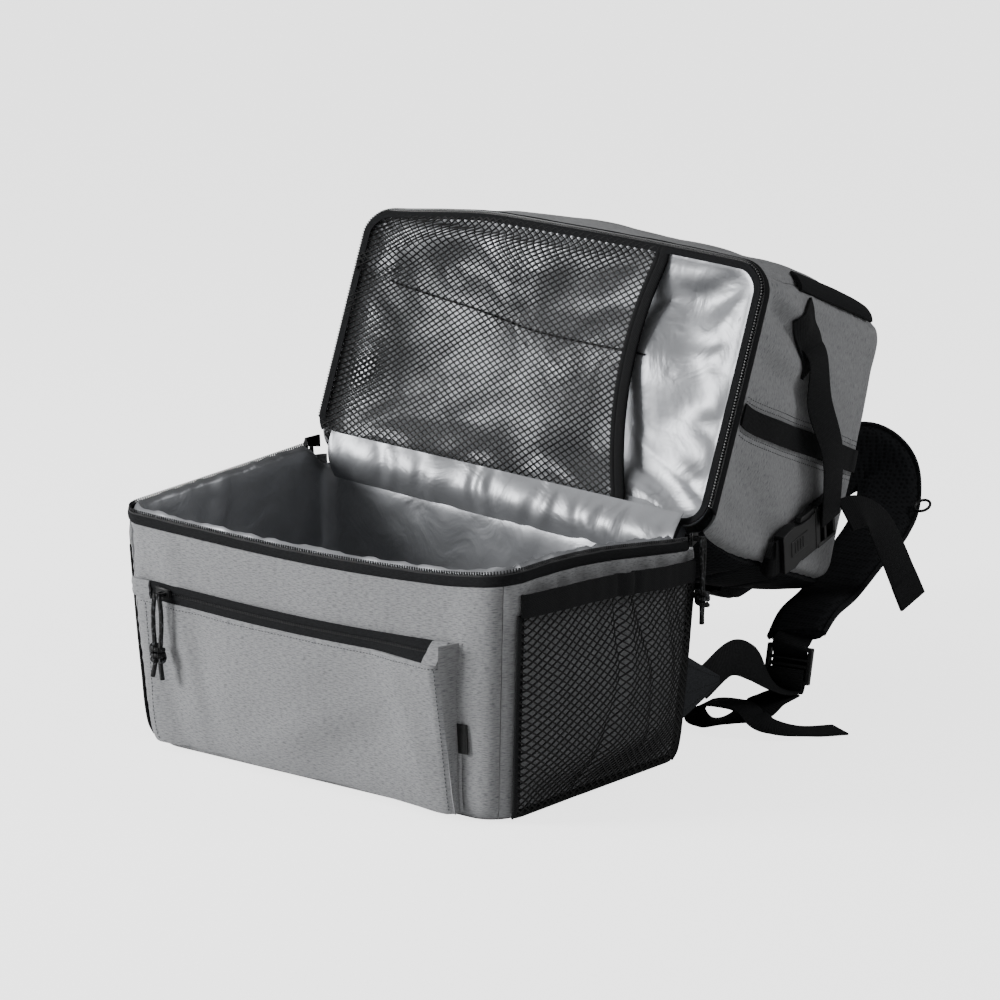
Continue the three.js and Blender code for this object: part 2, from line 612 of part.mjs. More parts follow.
// A slider with its pull. The slider is a tapered plate with a raised eye; its cord is folded through the
// eye, hangs as two strands and is knotted.
function addSlider(name, seat, along, out) {
  const plate = new THREE.Shape();
  plate.moveTo(-SLIDER_WIDTH / 2, SLIDER_LENGTH / 2);
  plate.lineTo(-SLIDER_WIDTH / 3, -SLIDER_LENGTH / 2);
  plate.lineTo(SLIDER_WIDTH / 3, -SLIDER_LENGTH / 2);
  plate.lineTo(SLIDER_WIDTH / 2, SLIDER_LENGTH / 2);
  const body = new THREE.ExtrudeGeometry(plate, { depth: SLIDER_THICKNESS / 2, bevelEnabled: false });
  const eye = new THREE.BoxGeometry(SLIDER_WIDTH / 3, SLIDER_LENGTH / 2, SLIDER_THICKNESS);
  eye.translate(0, 0, SLIDER_THICKNESS * 0.75);
  const slider = fromManifold(toManifold(body).add(toManifold(eye)));
  add(backpack, name + "_zip_slider", placed(slider, seat, along, out), blackPlastic);

  const down = at(0, 0, -1);
  const side = down.clone().cross(out).normalize();
  const fold = seat.clone().addScaledVector(out, SLIDER_THICKNESS * 1.25 + PULL_CORD / 2 + GAP);
  const rows = [
    { drop: 1, wide: 1 },
    { drop: 0.7, wide: 1.6 },
    { drop: 0.35, wide: 1.8 },
    { drop: 0.06, wide: 1.2 },
  ];
  const strand = (sign, list) =>
    list.map(({ drop, wide }) => {
      const place = fold.clone().addScaledVector(down, drop * PULL_DROP);
      return place.addScaledVector(side, sign * wide * (PULL_CORD / 2 + GAP));
    });
  const bend = fold.clone().addScaledVector(down, -PULL_CORD / 3);
  const folded = cord([...strand(-1, rows), bend, ...strand(1, [...rows].reverse())]);
  add(backpack, name + "_pull_cord", folded, blackWebbing);
  const knot = fold.clone().addScaledVector(down, PULL_DROP + KNOT_RADIUS + GAP);
  add(backpack, name + "_pull_knot", pullKnot(knot, side), blackWebbing);
}

function cord(places) {
  const path = new THREE.CatmullRomCurve3(places);
  const section = new THREE.Shape();
  section.absarc(0, 0, PULL_CORD / 2, 0, 2 * Math.PI);
  const steps = Math.ceil(path.getLength() / (2.4 * PULL_CORD));
  const options = { steps, curveSegments: 4, extrudePath: path, bevelEnabled: false };
  return closed(new THREE.ExtrudeGeometry(section, options));
}

// The knot and the two cord ends below it, as one solid.
function pullKnot(centre, side) {
  const ball = new THREE.SphereGeometry(KNOT_RADIUS, 8, 5);
  let solid = toManifold(ball.translate(centre.x, centre.y, centre.z));
  for (const sign of [-1, 1]) {
    const start = centre.clone().addScaledVector(side, sign * PULL_CORD * 0.6);
    const end = centre.clone().addScaledVector(side, sign * PULL_CORD);
    end.z -= KNOT_RADIUS + PULL_TAIL;
    solid = solid.add(toManifold(cord([start, start.clone().lerp(end, 0.5), end])));
  }
  return fromManifold(solid);
}

// The right side net by shares across and up, gathered a little along its top.
function netSurface(turn) {
  const [u0, u1] = ordered([turn(1 + NET_MARGIN / DEPTH), turn(2 - NET_MARGIN / DEPTH)]);
  return (across, up) => {
    const hang = Math.sin(Math.PI * clamp(across, 0, 1)) ** 0.6;
    const belly = lerp(NET_BULGE * smoothstep(up, 0, 0.3), NET_MOUTH, smoothstep(up, 0.55, 1));
    const gather = (NET_BULGE / 12) * Math.sin(across * 8 * Math.PI) * smoothstep(up, 0.2, 0.6);
    const rise = lerp(NET_FOOT, NET_TOP, up) / LOWER_HEIGHT;
    return offSurface(lowerSkin, lerp(u0, u1, across), rise, 7 * GAP + (belly + gather) * hang);
  };
}

function addNetPockets() {
  for (const { name, turn } of SIDES) {
    const net = netSurface(turn);
    add(backpack, "net_pocket_" + name, netSheet(net, 5, 5, NET_THICKNESS), blackNet);
    const above = (across, up) => net(across, 1).add(at(0, 0, GAP + up * NET_BINDING_HEIGHT));
    const binding = sheet(above, even([0, 1], 12), [0, 1], 0, NET_BINDING_THICKNESS);
    add(backpack, "net_binding_" + name, binding, blackWebbing);
  }
}

// Shares of the upper half's length
const upperTapeEnd = (TAPE_HEIGHT + TEETH_HEIGHT) / UPPER_LENGTH;
const upperTeethEnd = TEETH_HEIGHT / UPPER_LENGTH;
const upperGap = GAP / UPPER_LENGTH;

function addUpperShell() {
  const rise = [upperTapeEnd + upperGap, 1];
  const rows = rowStops(UPPER_SECTIONS, rise);
  const front = sheet(upperSurface, turnStops([seam, 1 - seam]), rows, -CLOTH, 0);
  add(upper, "upper_front_panel", front, grayCloth);
  for (const { name, turn } of SIDES) {
    const side = sheet(upperSurface, turnStops(ordered([turn(1 + seam), turn(2 - seam)])), rows, -CLOTH, 0);
    add(upper, "upper_side_panel_" + name, side, grayCloth);
  }
  const pad = sheet(upperSurface, turnStops([2 + seam, 3 - seam]), rows, -CLOTH, upperPadSwell);
  add(upper, "upper_back_pad", pad, darkCloth);
  const domes = [0.8, 0.4, 0];
  const inside = domes.map((share) => domeRing(share, GAP));
  const outside = [...domes].reverse().map((share) => domeRing(share, GAP + CLOTH));
  add(upper, "upper_top_panel", loft([...inside, ...outside]), grayCloth);
}

// The back pad is thickest near the hinge, where the wearer's back is.
function upperPadSwell(turn, rise) {
  const swell = padSwell([2, 3], [upperTapeEnd, 1], UPPER_PAD)(turn, rise);
  const along = smoothstep(rise, upperTapeEnd, 0.3) * (1 - 0.5 * smoothstep(rise, 0.4, 1));
  return swell * along;
}

// A ring of the domed top: share 0 is its sewn edge and 1 its middle.
function domeRing(share, lift) {
  const back = readTable(UPPER_SECTIONS, "rise", "back", 1);
  const middle = at(0, UPPER_DEPTH * (back - 0.5), UPPER_LENGTH + lift);
  const crown = TOP_CROWN * (1 - (1 - share) ** 2);
  return ringTurns.map((turn) => {
    const edge = upperSurface(turn, 1);
    const rim = edge.z - UPPER_LENGTH;
    const flat = edge.setZ(middle.z).sub(middle);
    flat.setLength(flat.length() - GAP).multiplyScalar(1 - share);
    return flat.add(middle).setZ(middle.z + lerp(rim, crown + BACK_FLARE / 2, share));
  });
}

// The silver panel that closes the upper half, set back behind the zip like a shallow dish.
function addLidLining() {
  const outer = CLOTH + LINING_GAP;
  const inner = outer + LID_PANEL_THICKNESS;
  const mouth = upperTeethEnd + 2 * upperGap;
  const depth = LID_RECESS / UPPER_LENGTH;
  const wall = (inset, rise) => ringTurns.map((turn) => offSurface(upperSurface, turn, rise, -inset));
  const middle = at(0, -UPPER_DEPTH / 2, LID_RECESS);
  const drawnIn = (point, lift) => point.clone().lerp(middle, 0.2).setZ(LID_RECESS + lift);
  const floor = (ring, lift) => ring.map((point) => drawnIn(point, lift));
  const outerDeep = wall(outer, depth);
  const innerDeep = wall(inner, depth - LID_PANEL_THICKNESS / UPPER_LENGTH);
  const backFace = [floor(outerDeep, LID_PANEL_THICKNESS), outerDeep, wall(outer, mouth)];
  const shownFace = [wall(inner, mouth), innerDeep, floor(outerDeep, 0)];
  add(upper, "lid_lining", loft([...backFace, ...shownFace]), silverFoil);
}

function addUpperZip() {
  const stops = turnStops(zipSpan);
  const tape = sheet(upperSurface, stops, [upperTeethEnd + upperGap, upperTapeEnd], -TAPE_THICKNESS, 0);
  add(upper, "upper_zip_tape", tape, blackWebbing);
  const [inner, outer] = [-(TAPE_THICKNESS + TEETH_WIDTH) / 2, (TEETH_WIDTH - TAPE_THICKNESS) / 2];
  add(upper, "upper_zip_teeth", sheet(upperSurface, stops, [0, upperTeethEnd], inner, outer), blackPlastic);
}

// Half the width of the upper zip line's rounded rectangle, inset, at a depth behind the hinge.
function lidEdge(y, inset) {
  const radius = CORNER_RADIUS - inset;
  const straight = UPPER_DEPTH / 2 - CORNER_RADIUS;
  const past = Math.max(0, Math.abs(y + UPPER_DEPTH / 2) - straight);
  const halfX = (WIDTH / 2) * readTable(UPPER_SECTIONS, "rise", "width", 0);
  return halfX - inset - radius + Math.sqrt(Math.max(0, radius * radius - past * past));
}

// The net over the silver panel, open at its bound right edge.
function addLidNet() {
  const inset = CLOTH + LINING_GAP + LID_PANEL_THICKNESS + 2 * GAP;
  const [low, high] = [-inset - GAP, -UPPER_DEPTH + inset + CORNER_DROOP + 2 * CLOTH];
  const plane = (across, up) => {
    const y = lerp(low, high, up);
    const left = -lidEdge(y, inset + 2 * CLOTH);
    const right = LID_NET_WIDTH - WIDTH / 2 + LID_NET_CURVE * Math.abs(2 * up - 1.2) ** 1.2;
    const sag = Math.sin(Math.PI * clamp(across, 0, 1)) * Math.sin(Math.PI * clamp(up, 0, 1));
    return at(lerp(left, right, across), y, LID_NET_RISE + CLOTH * sag);
  };
  const [columns, rows] = [7, 4];
  add(upper, "lid_net", netSheet(plane, columns, rows, NET_THICKNESS), blackNet);
  const bound = (across, up) => {
    const edge = plane(1, up);
    return at(edge.x + GAP + across * LID_BINDING_WIDTH, edge.y, edge.z);
  };
  add(upper, "lid_net_binding", sheet(bound, [0, 1], even([0, 1], rows), -CLOTH, 0), blackWebbing);
}

// Rows of a strap that lies on the upper half, from their turns, rises and lifts.
function onUpper(rows) {
  return rows.map(({ turn, rise, lift }) => ({
    place: offSurface(upperSkin, turn, rise, lift),
    face: normalOf(upperSkin, turn, rise),
  }));
}

function addUpperTrim() {
  const [zipFrom, zipTo] = [0.2, 0.97];
  const half = TOP_ZIP_WIDTH / 2 / UPPER_DEPTH;
  const bandHalf = SIDE_BAND_WIDTH / 2 / UPPER_DEPTH;
  for (const { name, turn } of SIDES) {
    const zipTurns = turnStops(ordered([turn(1 - half), turn(1 + half)]));
    const zipRows = rowStops(UPPER_SECTIONS, [zipFrom, zipTo]);
    const zip = sheet(upperSkin, zipTurns, zipRows, 2 * GAP, TOP_ZIP_THICKNESS);
    add(upper, "top_zip_" + name, zip, blackWebbing);
    const bandTurns = turnStops(ordered([turn(1.53 - bandHalf), turn(1.53 + bandHalf)]));
    const bandRows = rowStops(UPPER_SECTIONS, [upperTapeEnd + upperGap, 0.97]);
    const band = sheet(upperSkin, bandTurns, bandRows, 4 * GAP, 4 * GAP + SIDE_BAND_THICKNESS);
    add(upper, "side_band_" + name, band, blackWebbing);
  }
}

// A compression strap: webbing from the front seam to a side-release buckle, whose other half is sewn
// into the back seam, and the webbing's loose end.
function addCompressionStrap({ name, sign, turn }) {
  const lift = 2 * GAP + WEBBING_THICKNESS / 2;
  const overBand = 2 * (lift + SIDE_BAND_THICKNESS + GAP);
  const across = upperSurface(turn(1.92), 0.72).sub(upperSurface(turn(1.74), 0.45));
  const along = upperSurface(turn(1.74), 0.72).sub(upperSurface(turn(1.92), 0.45)).normalize();
  const face = across.cross(along).multiplyScalar(sign).normalize();
  const middle = upperSurface(turn(1.84), 0.62).addScaledVector(face, BUCKLE_THICKNESS);
  add(upper, "buckle_" + name, placed(buckleSolid(), middle, along, face), blackPlastic);

  // over the buckle's bar the webbing turns back, and its loose end lies on top
  const layer = WEBBING_THICKNESS + GAP;
  const bar = middle.clone().addScaledVector(along, BUCKLE_LENGTH * 0.36);
  bar.addScaledVector(face, (BUCKLE_THICKNESS + WEBBING_THICKNESS) / 2 + 2 * GAP);
  const strap = onUpper([
    { turn: turn(1.15), rise: 0.33, lift: 1.2 * lift },
    { turn: turn(1.22), rise: 0.4, lift: overBand },
    { turn: turn(1.38), rise: 0.5, lift: 1.5 * overBand },
    { turn: turn(1.54), rise: 0.6, lift: 2 * overBand },
  ]);
  strap.push({ place: bar, face });
  add(upper, "compression_strap_" + name, webbingStrip(strap, STRAP_WIDTH, 12), blackWebbing);

  const foot = middle.clone().addScaledVector(along, -BUCKLE_LENGTH / 2 - 3 * GAP);
  const leaving = foot.clone().addScaledVector(along, -STRAP_WIDTH / 4);
  const anchor = onUpper([{ turn: turn(1.96), rise: 0.42, lift: 1.2 * lift }]);
  const webbing = [{ place: foot, face }, { place: leaving, face }, ...anchor];
  add(upper, "buckle_webbing_" + name, webbingStrip(webbing, STRAP_WIDTH, 4), blackWebbing);

  const start = bar.clone().addScaledVector(face, 3 * layer).addScaledVector(along, 5.5 * layer);
  start.applyMatrix4(upper.matrix);
  const tail = [
    { out: 0, back: 0, up: 0, faceX: 0.8, faceZ: 0.6 },
    { out: 0.05, back: 0.15, up: 0.02, faceX: 0.7, faceZ: 0.7 },
    { out: 0.09, back: 0.32, up: -0.1, faceX: 0.9, faceZ: 0.4 },
    { out: 0.14, back: 0.44, up: -0.32, faceX: 1, faceZ: 0.2 },
    { out: 0.17, back: 0.55, up: -0.53, faceX: 1, faceZ: 0.1 },
    { out: 0.2, back: 0.66, up: -0.74, faceX: 1, faceZ: 0 },
  ].map(({ out, back, up, faceX, faceZ }) => ({
    place: start.clone().add(at(sign * out, back, up).multiplyScalar(STRAP_TAIL)),
    face: at(sign * faceX, -0.3, faceZ),
  }));
  add(backpack, "compression_tail_" + name, webbingStrip(tail, STRAP_WIDTH, 10), blackWebbing);
}

// A side-release buckle as one closed piece: a waisted body with a bar at its top.
function buckleSolid() {
  const [w, l] = [BUCKLE_WIDTH / 2, BUCKLE_LENGTH / 2];
  const body = new THREE.Shape();
  body.moveTo(-w, l);
  body.lineTo(-w, l * 0.35);
  body.quadraticCurveTo(-w * 0.72, l * 0.1, -w, -l * 0.2);
  body.lineTo(-w * 0.85, -l);
  body.lineTo(w * 0.85, -l);
  body.lineTo(w, -l * 0.2);
  body.quadraticCurveTo(w * 0.72, l * 0.1, w, l * 0.35);
  body.lineTo(w, l);
  const slot = new THREE.Path();
  slot.moveTo(-w * 0.78, l * 0.82);
  slot.lineTo(w * 0.78, l * 0.82);
  slot.lineTo(w * 0.78, l * 0.62);
  slot.lineTo(-w * 0.78, l * 0.62);
  body.holes.push(slot);
  const options = { depth: BUCKLE_THICKNESS, bevelEnabled: false, curveSegments: 5 };
  return closed(new THREE.ExtrudeGeometry(body, options).translate(0, 0, -BUCKLE_THICKNESS / 2));
}

// The padded fold that joins the two halves, from the lower back wall's top edge to the upper half's back.
function addHinge() {
  const foot = backTop + lowerGap;
  const toWorld = (point) => point.applyMatrix4(upper.matrix);
  const rings = turnStops([2.04, 2.96]).map((turn) => [
    offSurface(lowerSurface, turn, foot, -CLOTH - GAP - INSULATION),
    offSurface(lowerSurface, turn, foot, 0),
    toWorld(offSurface(upperSurface, turn, 0.45 * upperTapeEnd, 0)),
    toWorld(offSurface(upperSurface, turn, 0.45 * upperTapeEnd, -CLOTH)),
    toWorld(offSurface(upperSurface, turn, upperGap, -CLOTH)),
  ]);
  add(backpack, "hinge_fold", loft(rings, 2), darkCloth);
}

// What holds a shoulder strap's lower end: a cloth triangle sewn into the back corner, its webbing, the
// ladder lock and the webbing's loose end.
function addAnchor({ name, sign, turn }) {
  const corner = turn(2);
  const [low, high] = [TAB_RISE - TAB_HEIGHT / 2, TAB_RISE + TAB_HEIGHT / 2];
  const seat = 2 * GAP;
  const root = (height) => offSurface(lowerSurface, corner, height / LOWER_HEIGHT, seat);
  const tip = root(TAB_RISE).add(at(sign * GAP, TAB_REACH, -TAB_THICKNESS));
  const half = TAB_THICKNESS / 2;
  const edgeRing = (bottom, top, across) => [
    bottom.clone().addScaledVector(across, -half),
    bottom.clone().addScaledVector(across, half),
    top.clone().addScaledVector(across, half),
    top.clone().addScaledVector(across, -half),
  ];
  const tangent = at(sign, -1, 0).normalize();
  const blunt = at(0, 0, 3 * TAB_THICKNESS);
  const tipRing = edgeRing(tip.clone().sub(blunt), tip.clone().add(blunt), at(sign, 0, 0));
  const tab = loft([edgeRing(root(low), root(high), tangent), tipRing]);
  add(backpack, "anchor_tab_" + name, tab, darkCloth);

  const lockPlace = tip.clone().add(at(0, LOCK_DISTANCE, -2 * TAB_THICKNESS));
  const lockAlong = at(0, 0.2, 1).normalize();
  const lockFace = at(sign * 0.3, -1, 0.2).normalize();
  add(backpack, "ladder_lock_" + name, placed(lockSolid(), lockPlace, lockAlong, lockFace), blackPlastic);
  const lockEnd = (sense) => lockPlace.clone().addScaledVector(lockAlong, sense * (LOCK_LENGTH / 2 + GAP));

  const inside = at(-sign * (TAB_THICKNESS / 2 + WEBBING_THICKNESS / 2 + 2 * GAP), 0, 0);
  const held = tip.clone().add(inside).add(at(0, -TAB_REACH / 3, 0));
  const under = lockEnd(-1).add(at(0, 0, -3 * WEBBING_THICKNESS));
  const arch = [
    { share: 0.22, up: 0.5, faceX: 1, faceZ: 0 },
    { share: 0.48, up: 0.47, faceX: 1, faceZ: 0.2 },
    { share: 0.72, up: 0.22, faceX: 0.7, faceZ: 0.7 },
    { share: 0.9, up: 0, faceX: 0.2, faceZ: 1 },
    { share: 1, up: 0, faceX: 0, faceZ: 1 },
  ].map(({ share, up, faceX, faceZ }) => {
    const place = tip.clone().lerp(under, share).addScaledVector(inside, 1 - share);
    place.z += up * LOCK_WIDTH;
    return { place, face: at(sign * faceX, 0, faceZ) };
  });
  const webbing = [{ place: held, face: at(sign, 0, 0) }, ...arch];
  add(backpack, "anchor_webbing_" + name, webbingStrip(webbing, ANCHOR_WIDTH, 10), blackWebbing);

  const loose = [
    { out: 0, back: 0, height: 1, face: [0, 0, 1] },
    { out: -0.02, back: -0.16, height: 0.9, face: [0.1, 0, 1] },
    { out: -0.07, back: -0.3, height: 0.6, face: [0.4, 0, 0.9] },
    { out: -0.2, back: -0.38, height: 0.35, face: [0.3, 0, 1] },
    { out: -0.38, back: -0.42, height: 0.05, face: [0, 0, 1] },
    { out: -0.47, back: -0.44, height: 0.35, face: [1, 0, 0] },
    { out: -0.38, back: -0.42, height: 0.75, face: [0, 0, -1] },
    { out: -0.18, back: -0.42, height: 0.9, face: [0, 0, -1] },
    { out: -0.06, back: -0.42, height: 0.85, face: [-0.3, 0, -1] },
    { out: 0.04, back: -0.44, height: 0.6, face: [-0.9, 0, -0.6] },
    { out: 0.15, back: -0.4, height: 0.35, face: [-0.3, 0, -1] },
    { out: 0.32, back: -0.22, height: 0.12, face: [0, 0, -1] },
    { out: 0.45, back: 0, height: 0.05, face: [0, 0, -1] },
  ].map(({ out, back, height, face }) => {
    const start = under.clone().add(at(0, 0, -1.5 * WEBBING_THICKNESS));
    const z = Math.max(WEBBING_THICKNESS / 2, height * start.z);
    return {
      place: at(start.x + sign * out * TAIL_REACH, start.y + back * TAIL_REACH, z),
      face: at(sign * face[0], face[1], face[2]),
    };
  });
  add(backpack, "strap_tail_" + name, webbingStrip(loose, ANCHOR_WIDTH, 30), blackWebbing);
  return lockEnd(1);
}

// A ladder lock: a frame with two slots.
function lockSolid() {
  const [w, l] = [LOCK_WIDTH / 2, LOCK_LENGTH / 2];
  const frame = new THREE.Shape([
    new THREE.Vector2(-w, -l),
    new THREE.Vector2(w, -l),
    new THREE.Vector2(w * 0.9, l),
    new THREE.Vector2(-w * 0.9, l),
  ]);
  for (const middle of [-0.45, 0.35]) {
    const slot = [[-0.75, -0.14], [0.75, -0.14], [0.75, 0.14], [-0.75, 0.14]];
    frame.holes.push(new THREE.Path(slot.map(([x, y]) => new THREE.Vector2(x * w, (y + middle) * l))));
  }
  const options = { depth: LOCK_THICKNESS, bevelEnabled: false };
  return closed(new THREE.ExtrudeGeometry(frame, options).translate(0, 0, -LOCK_THICKNESS / 2));
}

// A padded shoulder strap: from under the upper half's far end it swings out behind the bag, arches over
// and comes down to the ladder lock.
function addShoulderStrap({ name, sign, turn }, lockEnd) {
  const [sewnTurn, sewnRise] = [turn(2.3), 0.86];
  const lift = upperPadSwell(sewnTurn, sewnRise) + GAP + SHOULDER_THICKNESS / 2;
  const flat = offSurface(upperSkin, sewnTurn, sewnRise, lift);
  const end = flat.clone().add(at(0, 0, SHOULDER_WIDTH * 0.7));
  const [sewn, away] = [flat.applyMatrix4(upper.matrix), end.applyMatrix4(upper.matrix)];
  const under = at(0, 1, 0).transformDirection(upper.matrix);
  const swing = [
    { along: 0.1, out: -0.04, back: 0.44, up: 0.04, face: [0, 0.8, -0.6] },
    { along: 0.22, out: -0.06, back: 0.67, up: 0.25, face: [-0.1, 1, -0.2] },
    { along: 0.35, out: -0.03, back: 0.86, up: 0.43, face: [-0.3, 0.95, -0.1] },
    { along: 0.48, out: -0.01, back: 0.96, up: 0.49, face: [-0.4, 0.9, -0.1] },
    { along: 0.58, out: 0.0, back: 1.01, up: 0.45, face: [-0.5, 0.85, -0.1] },
    { along: 0.66, out: 0.0, back: 0.98, up: 0.36, face: [-0.5, 0.85, -0.2] },
    { along: 0.74, out: -0.0, back: 0.84, up: 0.27, face: [-0.3, 0.8, -0.5] },
    { along: 0.82, out: -0.01, back: 0.61, up: 0.19, face: [-0.1, 0.5, -0.8] },
    { along: 0.9, out: -0.02, back: 0.38, up: 0.11, face: [0, 0.4, -0.9] },
    { along: 0.96, out: -0.02, back: 0.18, up: 0.08, face: [0, 0.4, -0.9] },
  ].map(({ along, out, back, up, face }) => ({
    place: sewn.clone().lerp(lockEnd, along).add(at(sign * out, back, up).multiplyScalar(SHOULDER_SWING)),
    face: at(sign * face[0], face[1], face[2]),
  }));
  const rows = [
    { place: sewn, face: under },
    { place: away, face: under },
    ...swing,
    { place: at(0, 0.6, 0.6).multiplyScalar(SHOULDER_THICKNESS).add(lockEnd), face: at(0, 0.6, -0.8) },
  ];
  const widths = [SHOULDER_WIDTH, SHOULDER_END_WIDTH];
  add(backpack, "shoulder_strap_" + name, ribbon(rows, widths, SHOULDER_THICKNESS, 20, true), blackWebbing);
}

addLowerShell();
addLining();
addLowerZip();
addFrontPocket();
addNetPockets();
addUpperShell();
addLidLining();
addUpperZip();
addLidNet();
addUpperTrim();
addHinge();
for (const side of SIDES) {
  addCompressionStrap(side);
  addShoulderStrap(side, addAnchor(side));
  const turn = side.turn(1.95);
  const rise = 1 - TEETH_HEIGHT / LOWER_HEIGHT / 2;
  const out = normalOf(lowerSurface, turn, rise);
  const along = out.clone().cross(at(0, 0, 1));
  addSlider("main_" + side.name, lowerSurface(turn, rise), along, out);
}

export default backpack;
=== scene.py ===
"""Looks of a soft cooler backpack that stands open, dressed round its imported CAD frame.

The lower half is an insulated box with an open top. The upper half is folded back behind it on a cloth hinge,
so that the silver lining and the net pocket of its underside face forwards. Lengths in this file are
millimetres, unless a name ends in _M, and the mesh builder turns them into Blender's metres.
"""

import math

import bmesh
import bpy
import numpy as np
from mathutils import Matrix, Vector, noise


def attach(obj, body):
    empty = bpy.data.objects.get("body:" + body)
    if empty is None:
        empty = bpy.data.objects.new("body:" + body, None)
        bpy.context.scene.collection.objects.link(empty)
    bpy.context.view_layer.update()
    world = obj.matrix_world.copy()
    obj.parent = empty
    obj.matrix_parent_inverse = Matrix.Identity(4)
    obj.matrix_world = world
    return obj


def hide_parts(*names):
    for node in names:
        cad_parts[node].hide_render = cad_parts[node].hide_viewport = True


bl_info = {
    "name": "Cooler backpack looks",
    "version": (1, 0, 0),
    "blender": (4, 5, 0),
    "location": "3D View > Sidebar > Backpack",
    "description": "Cloth, nets, zips, webbing and silver lining of an open cooler backpack",
    "category": "Object",
}

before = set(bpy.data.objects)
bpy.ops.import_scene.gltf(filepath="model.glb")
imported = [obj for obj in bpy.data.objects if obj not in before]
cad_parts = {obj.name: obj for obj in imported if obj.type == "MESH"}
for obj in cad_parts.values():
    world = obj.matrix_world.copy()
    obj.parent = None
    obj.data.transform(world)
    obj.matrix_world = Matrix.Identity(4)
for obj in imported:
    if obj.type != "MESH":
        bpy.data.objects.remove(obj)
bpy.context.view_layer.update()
MM = 0.001

# Driving dimensions, as in the part's own source
WIDTH, DEPTH, LOWER_HEIGHT = 336, 212, 161
UPPER_DEPTH, UPPER_LENGTH, BACK_FLARE = 182, 190, 16
CORNER_RADIUS = 21
OPENING_ANGLE, OPENING_ROLL, OPENING_YAW = 107.2, 5, 3.6
HINGE_RISE, HINGE_INSET = 8, 9
GAP, LINING_GAP, CLOTH, INSULATION, FLOOR_PAD = 0.3, 0.9, 2, 7, 11
LOWER_PAD, UPPER_PAD = 11, 17
TAPE_HEIGHT, TEETH_HEIGHT, TAPE_THICKNESS = 12, 2.4, 1.4
TAPE_SHOWN = 7  # the cloth's turned edge covers the rest of the tape
POCKET_WIDTH, POCKET_FOOT_WIDTH, POCKET_LEFT_MARGIN = 284, 291, 14
POCKET_FOOT, POCKET_TOP, POCKET_ZIP_WIDTH, POCKET_CLOTH = 6, 104, 12, 1.6
POCKET_FOLD_DEPTH, POCKET_PUFF, END_TAB_LENGTH = 12, 4, 13
POCKET_SLIDER_RUN, LEFT_TAB_LENGTH = 27, 17
LABEL_WIDTH, LABEL_HEIGHT, LABEL_RISE, LABEL_THICKNESS = 8, 19, 45, 0.8
NET_FOOT, NET_TOP, NET_MARGIN, NET_BULGE, NET_MOUTH = 5, 132, 11, 15, 8
NET_BINDING_HEIGHT, NET_BINDING_THICKNESS = 13, 2
LID_RECESS, LID_PANEL_THICKNESS, LID_NET_WIDTH, LID_NET_CURVE = 22, 3, 238, 15
LID_SINK = 13
LID_NET_RISE, LID_BINDING_WIDTH, CORNER_DROOP = 4, 8, 9
TOP_CROWN, FRONT_CROWN = 18, 15
TOP_ZIP_WIDTH, TOP_ZIP_THICKNESS, SIDE_BAND_WIDTH, SIDE_BAND_THICKNESS = 10, 3, 15, 1.6
STRAP_WIDTH, WEBBING_THICKNESS, STRAP_TAIL = 25, 1.6, 95
BUCKLE_LENGTH, BUCKLE_WIDTH, BUCKLE_THICKNESS = 72, 33, 8
SHOULDER_WIDTH, SHOULDER_END_WIDTH, SHOULDER_THICKNESS, SHOULDER_SWING = 54, 44, 10, 180
ANCHOR_WIDTH, TAB_HEIGHT, TAB_REACH, TAB_RISE, TAB_THICKNESS = 25, 48, 44, 51, 3
LOCK_DISTANCE, LOCK_LENGTH, LOCK_WIDTH, LOCK_THICKNESS, TAIL_REACH = 86, 26, 33, 7, 100
SLIDER_LENGTH, SLIDER_WIDTH, SLIDER_THICKNESS = 12, 9, 4.5
PULL_CORD, PULL_DROP, PULL_TAIL, KNOT_RADIUS = 3.2, 34, 13, 5

# How the halves' sections change, by their share of the height: pairs of rise and share
LOWER_WIDTHS = (
    (0, 0.89), (0.03, 0.93), (0.1, 0.948), (0.28, 0.96),
    (0.46, 0.971), (0.64, 0.981), (0.8, 0.99), (1, 1),
)
LOWER_DEPTHS = (
    (0, 0.86), (0.03, 0.91), (0.1, 0.94), (0.28, 0.957),
    (0.46, 0.971), (0.64, 0.981), (0.8, 0.99), (1, 1),
)
UPPER_WIDTHS = (
    (0, 0.985), (0.1, 0.99), (0.27, 1), (0.45, 1),
    (0.65, 1), (0.88, 0.99), (0.96, 0.965), (1, 0.91),
)
UPPER_DEPTHS = (
    (0, 1), (0.1, 1.06), (0.27, 1.1), (0.45, 1.105),
    (0.65, 1.11), (0.88, 1.11), (0.96, 1.08), (1, 1.01),
)
UPPER_BACKS = (
    (0, 0), (0.1, 0.06), (0.27, 0.09), (0.45, 0.095),
    (0.65, 0.1), (0.88, 0.105), (0.96, 0.09), (1, 0.055),
)
# The lower zip line round the bag: turn, and lift as a share of the height
RIM_LIFTS = ((0, 0.02), (0.5, -0.022), (0.85, -0.01), (1.05, 0.03), (1.4, 0.045), (2, 0), (3, 0), (4, 0.02))
# Dents: turn, rise, their spreads across and up, and depth as a share of the half's depth
LOWER_DENTS = ((0.2, 0.42, 0.07, 0.2, 0.012), (0.62, 0.4, 0.12, 0.16, 0.01))
UPPER_DENTS = (
    (1.12, 0.42, 0.06, 0.14, 0.02),
    (1.4, 0.45, 0.2, 0.12, 0.03),
    (1.8, 0.6, 0.1, 0.12, 0.025),
    (3.6, 0.45, 0.2, 0.12, 0.03),
)
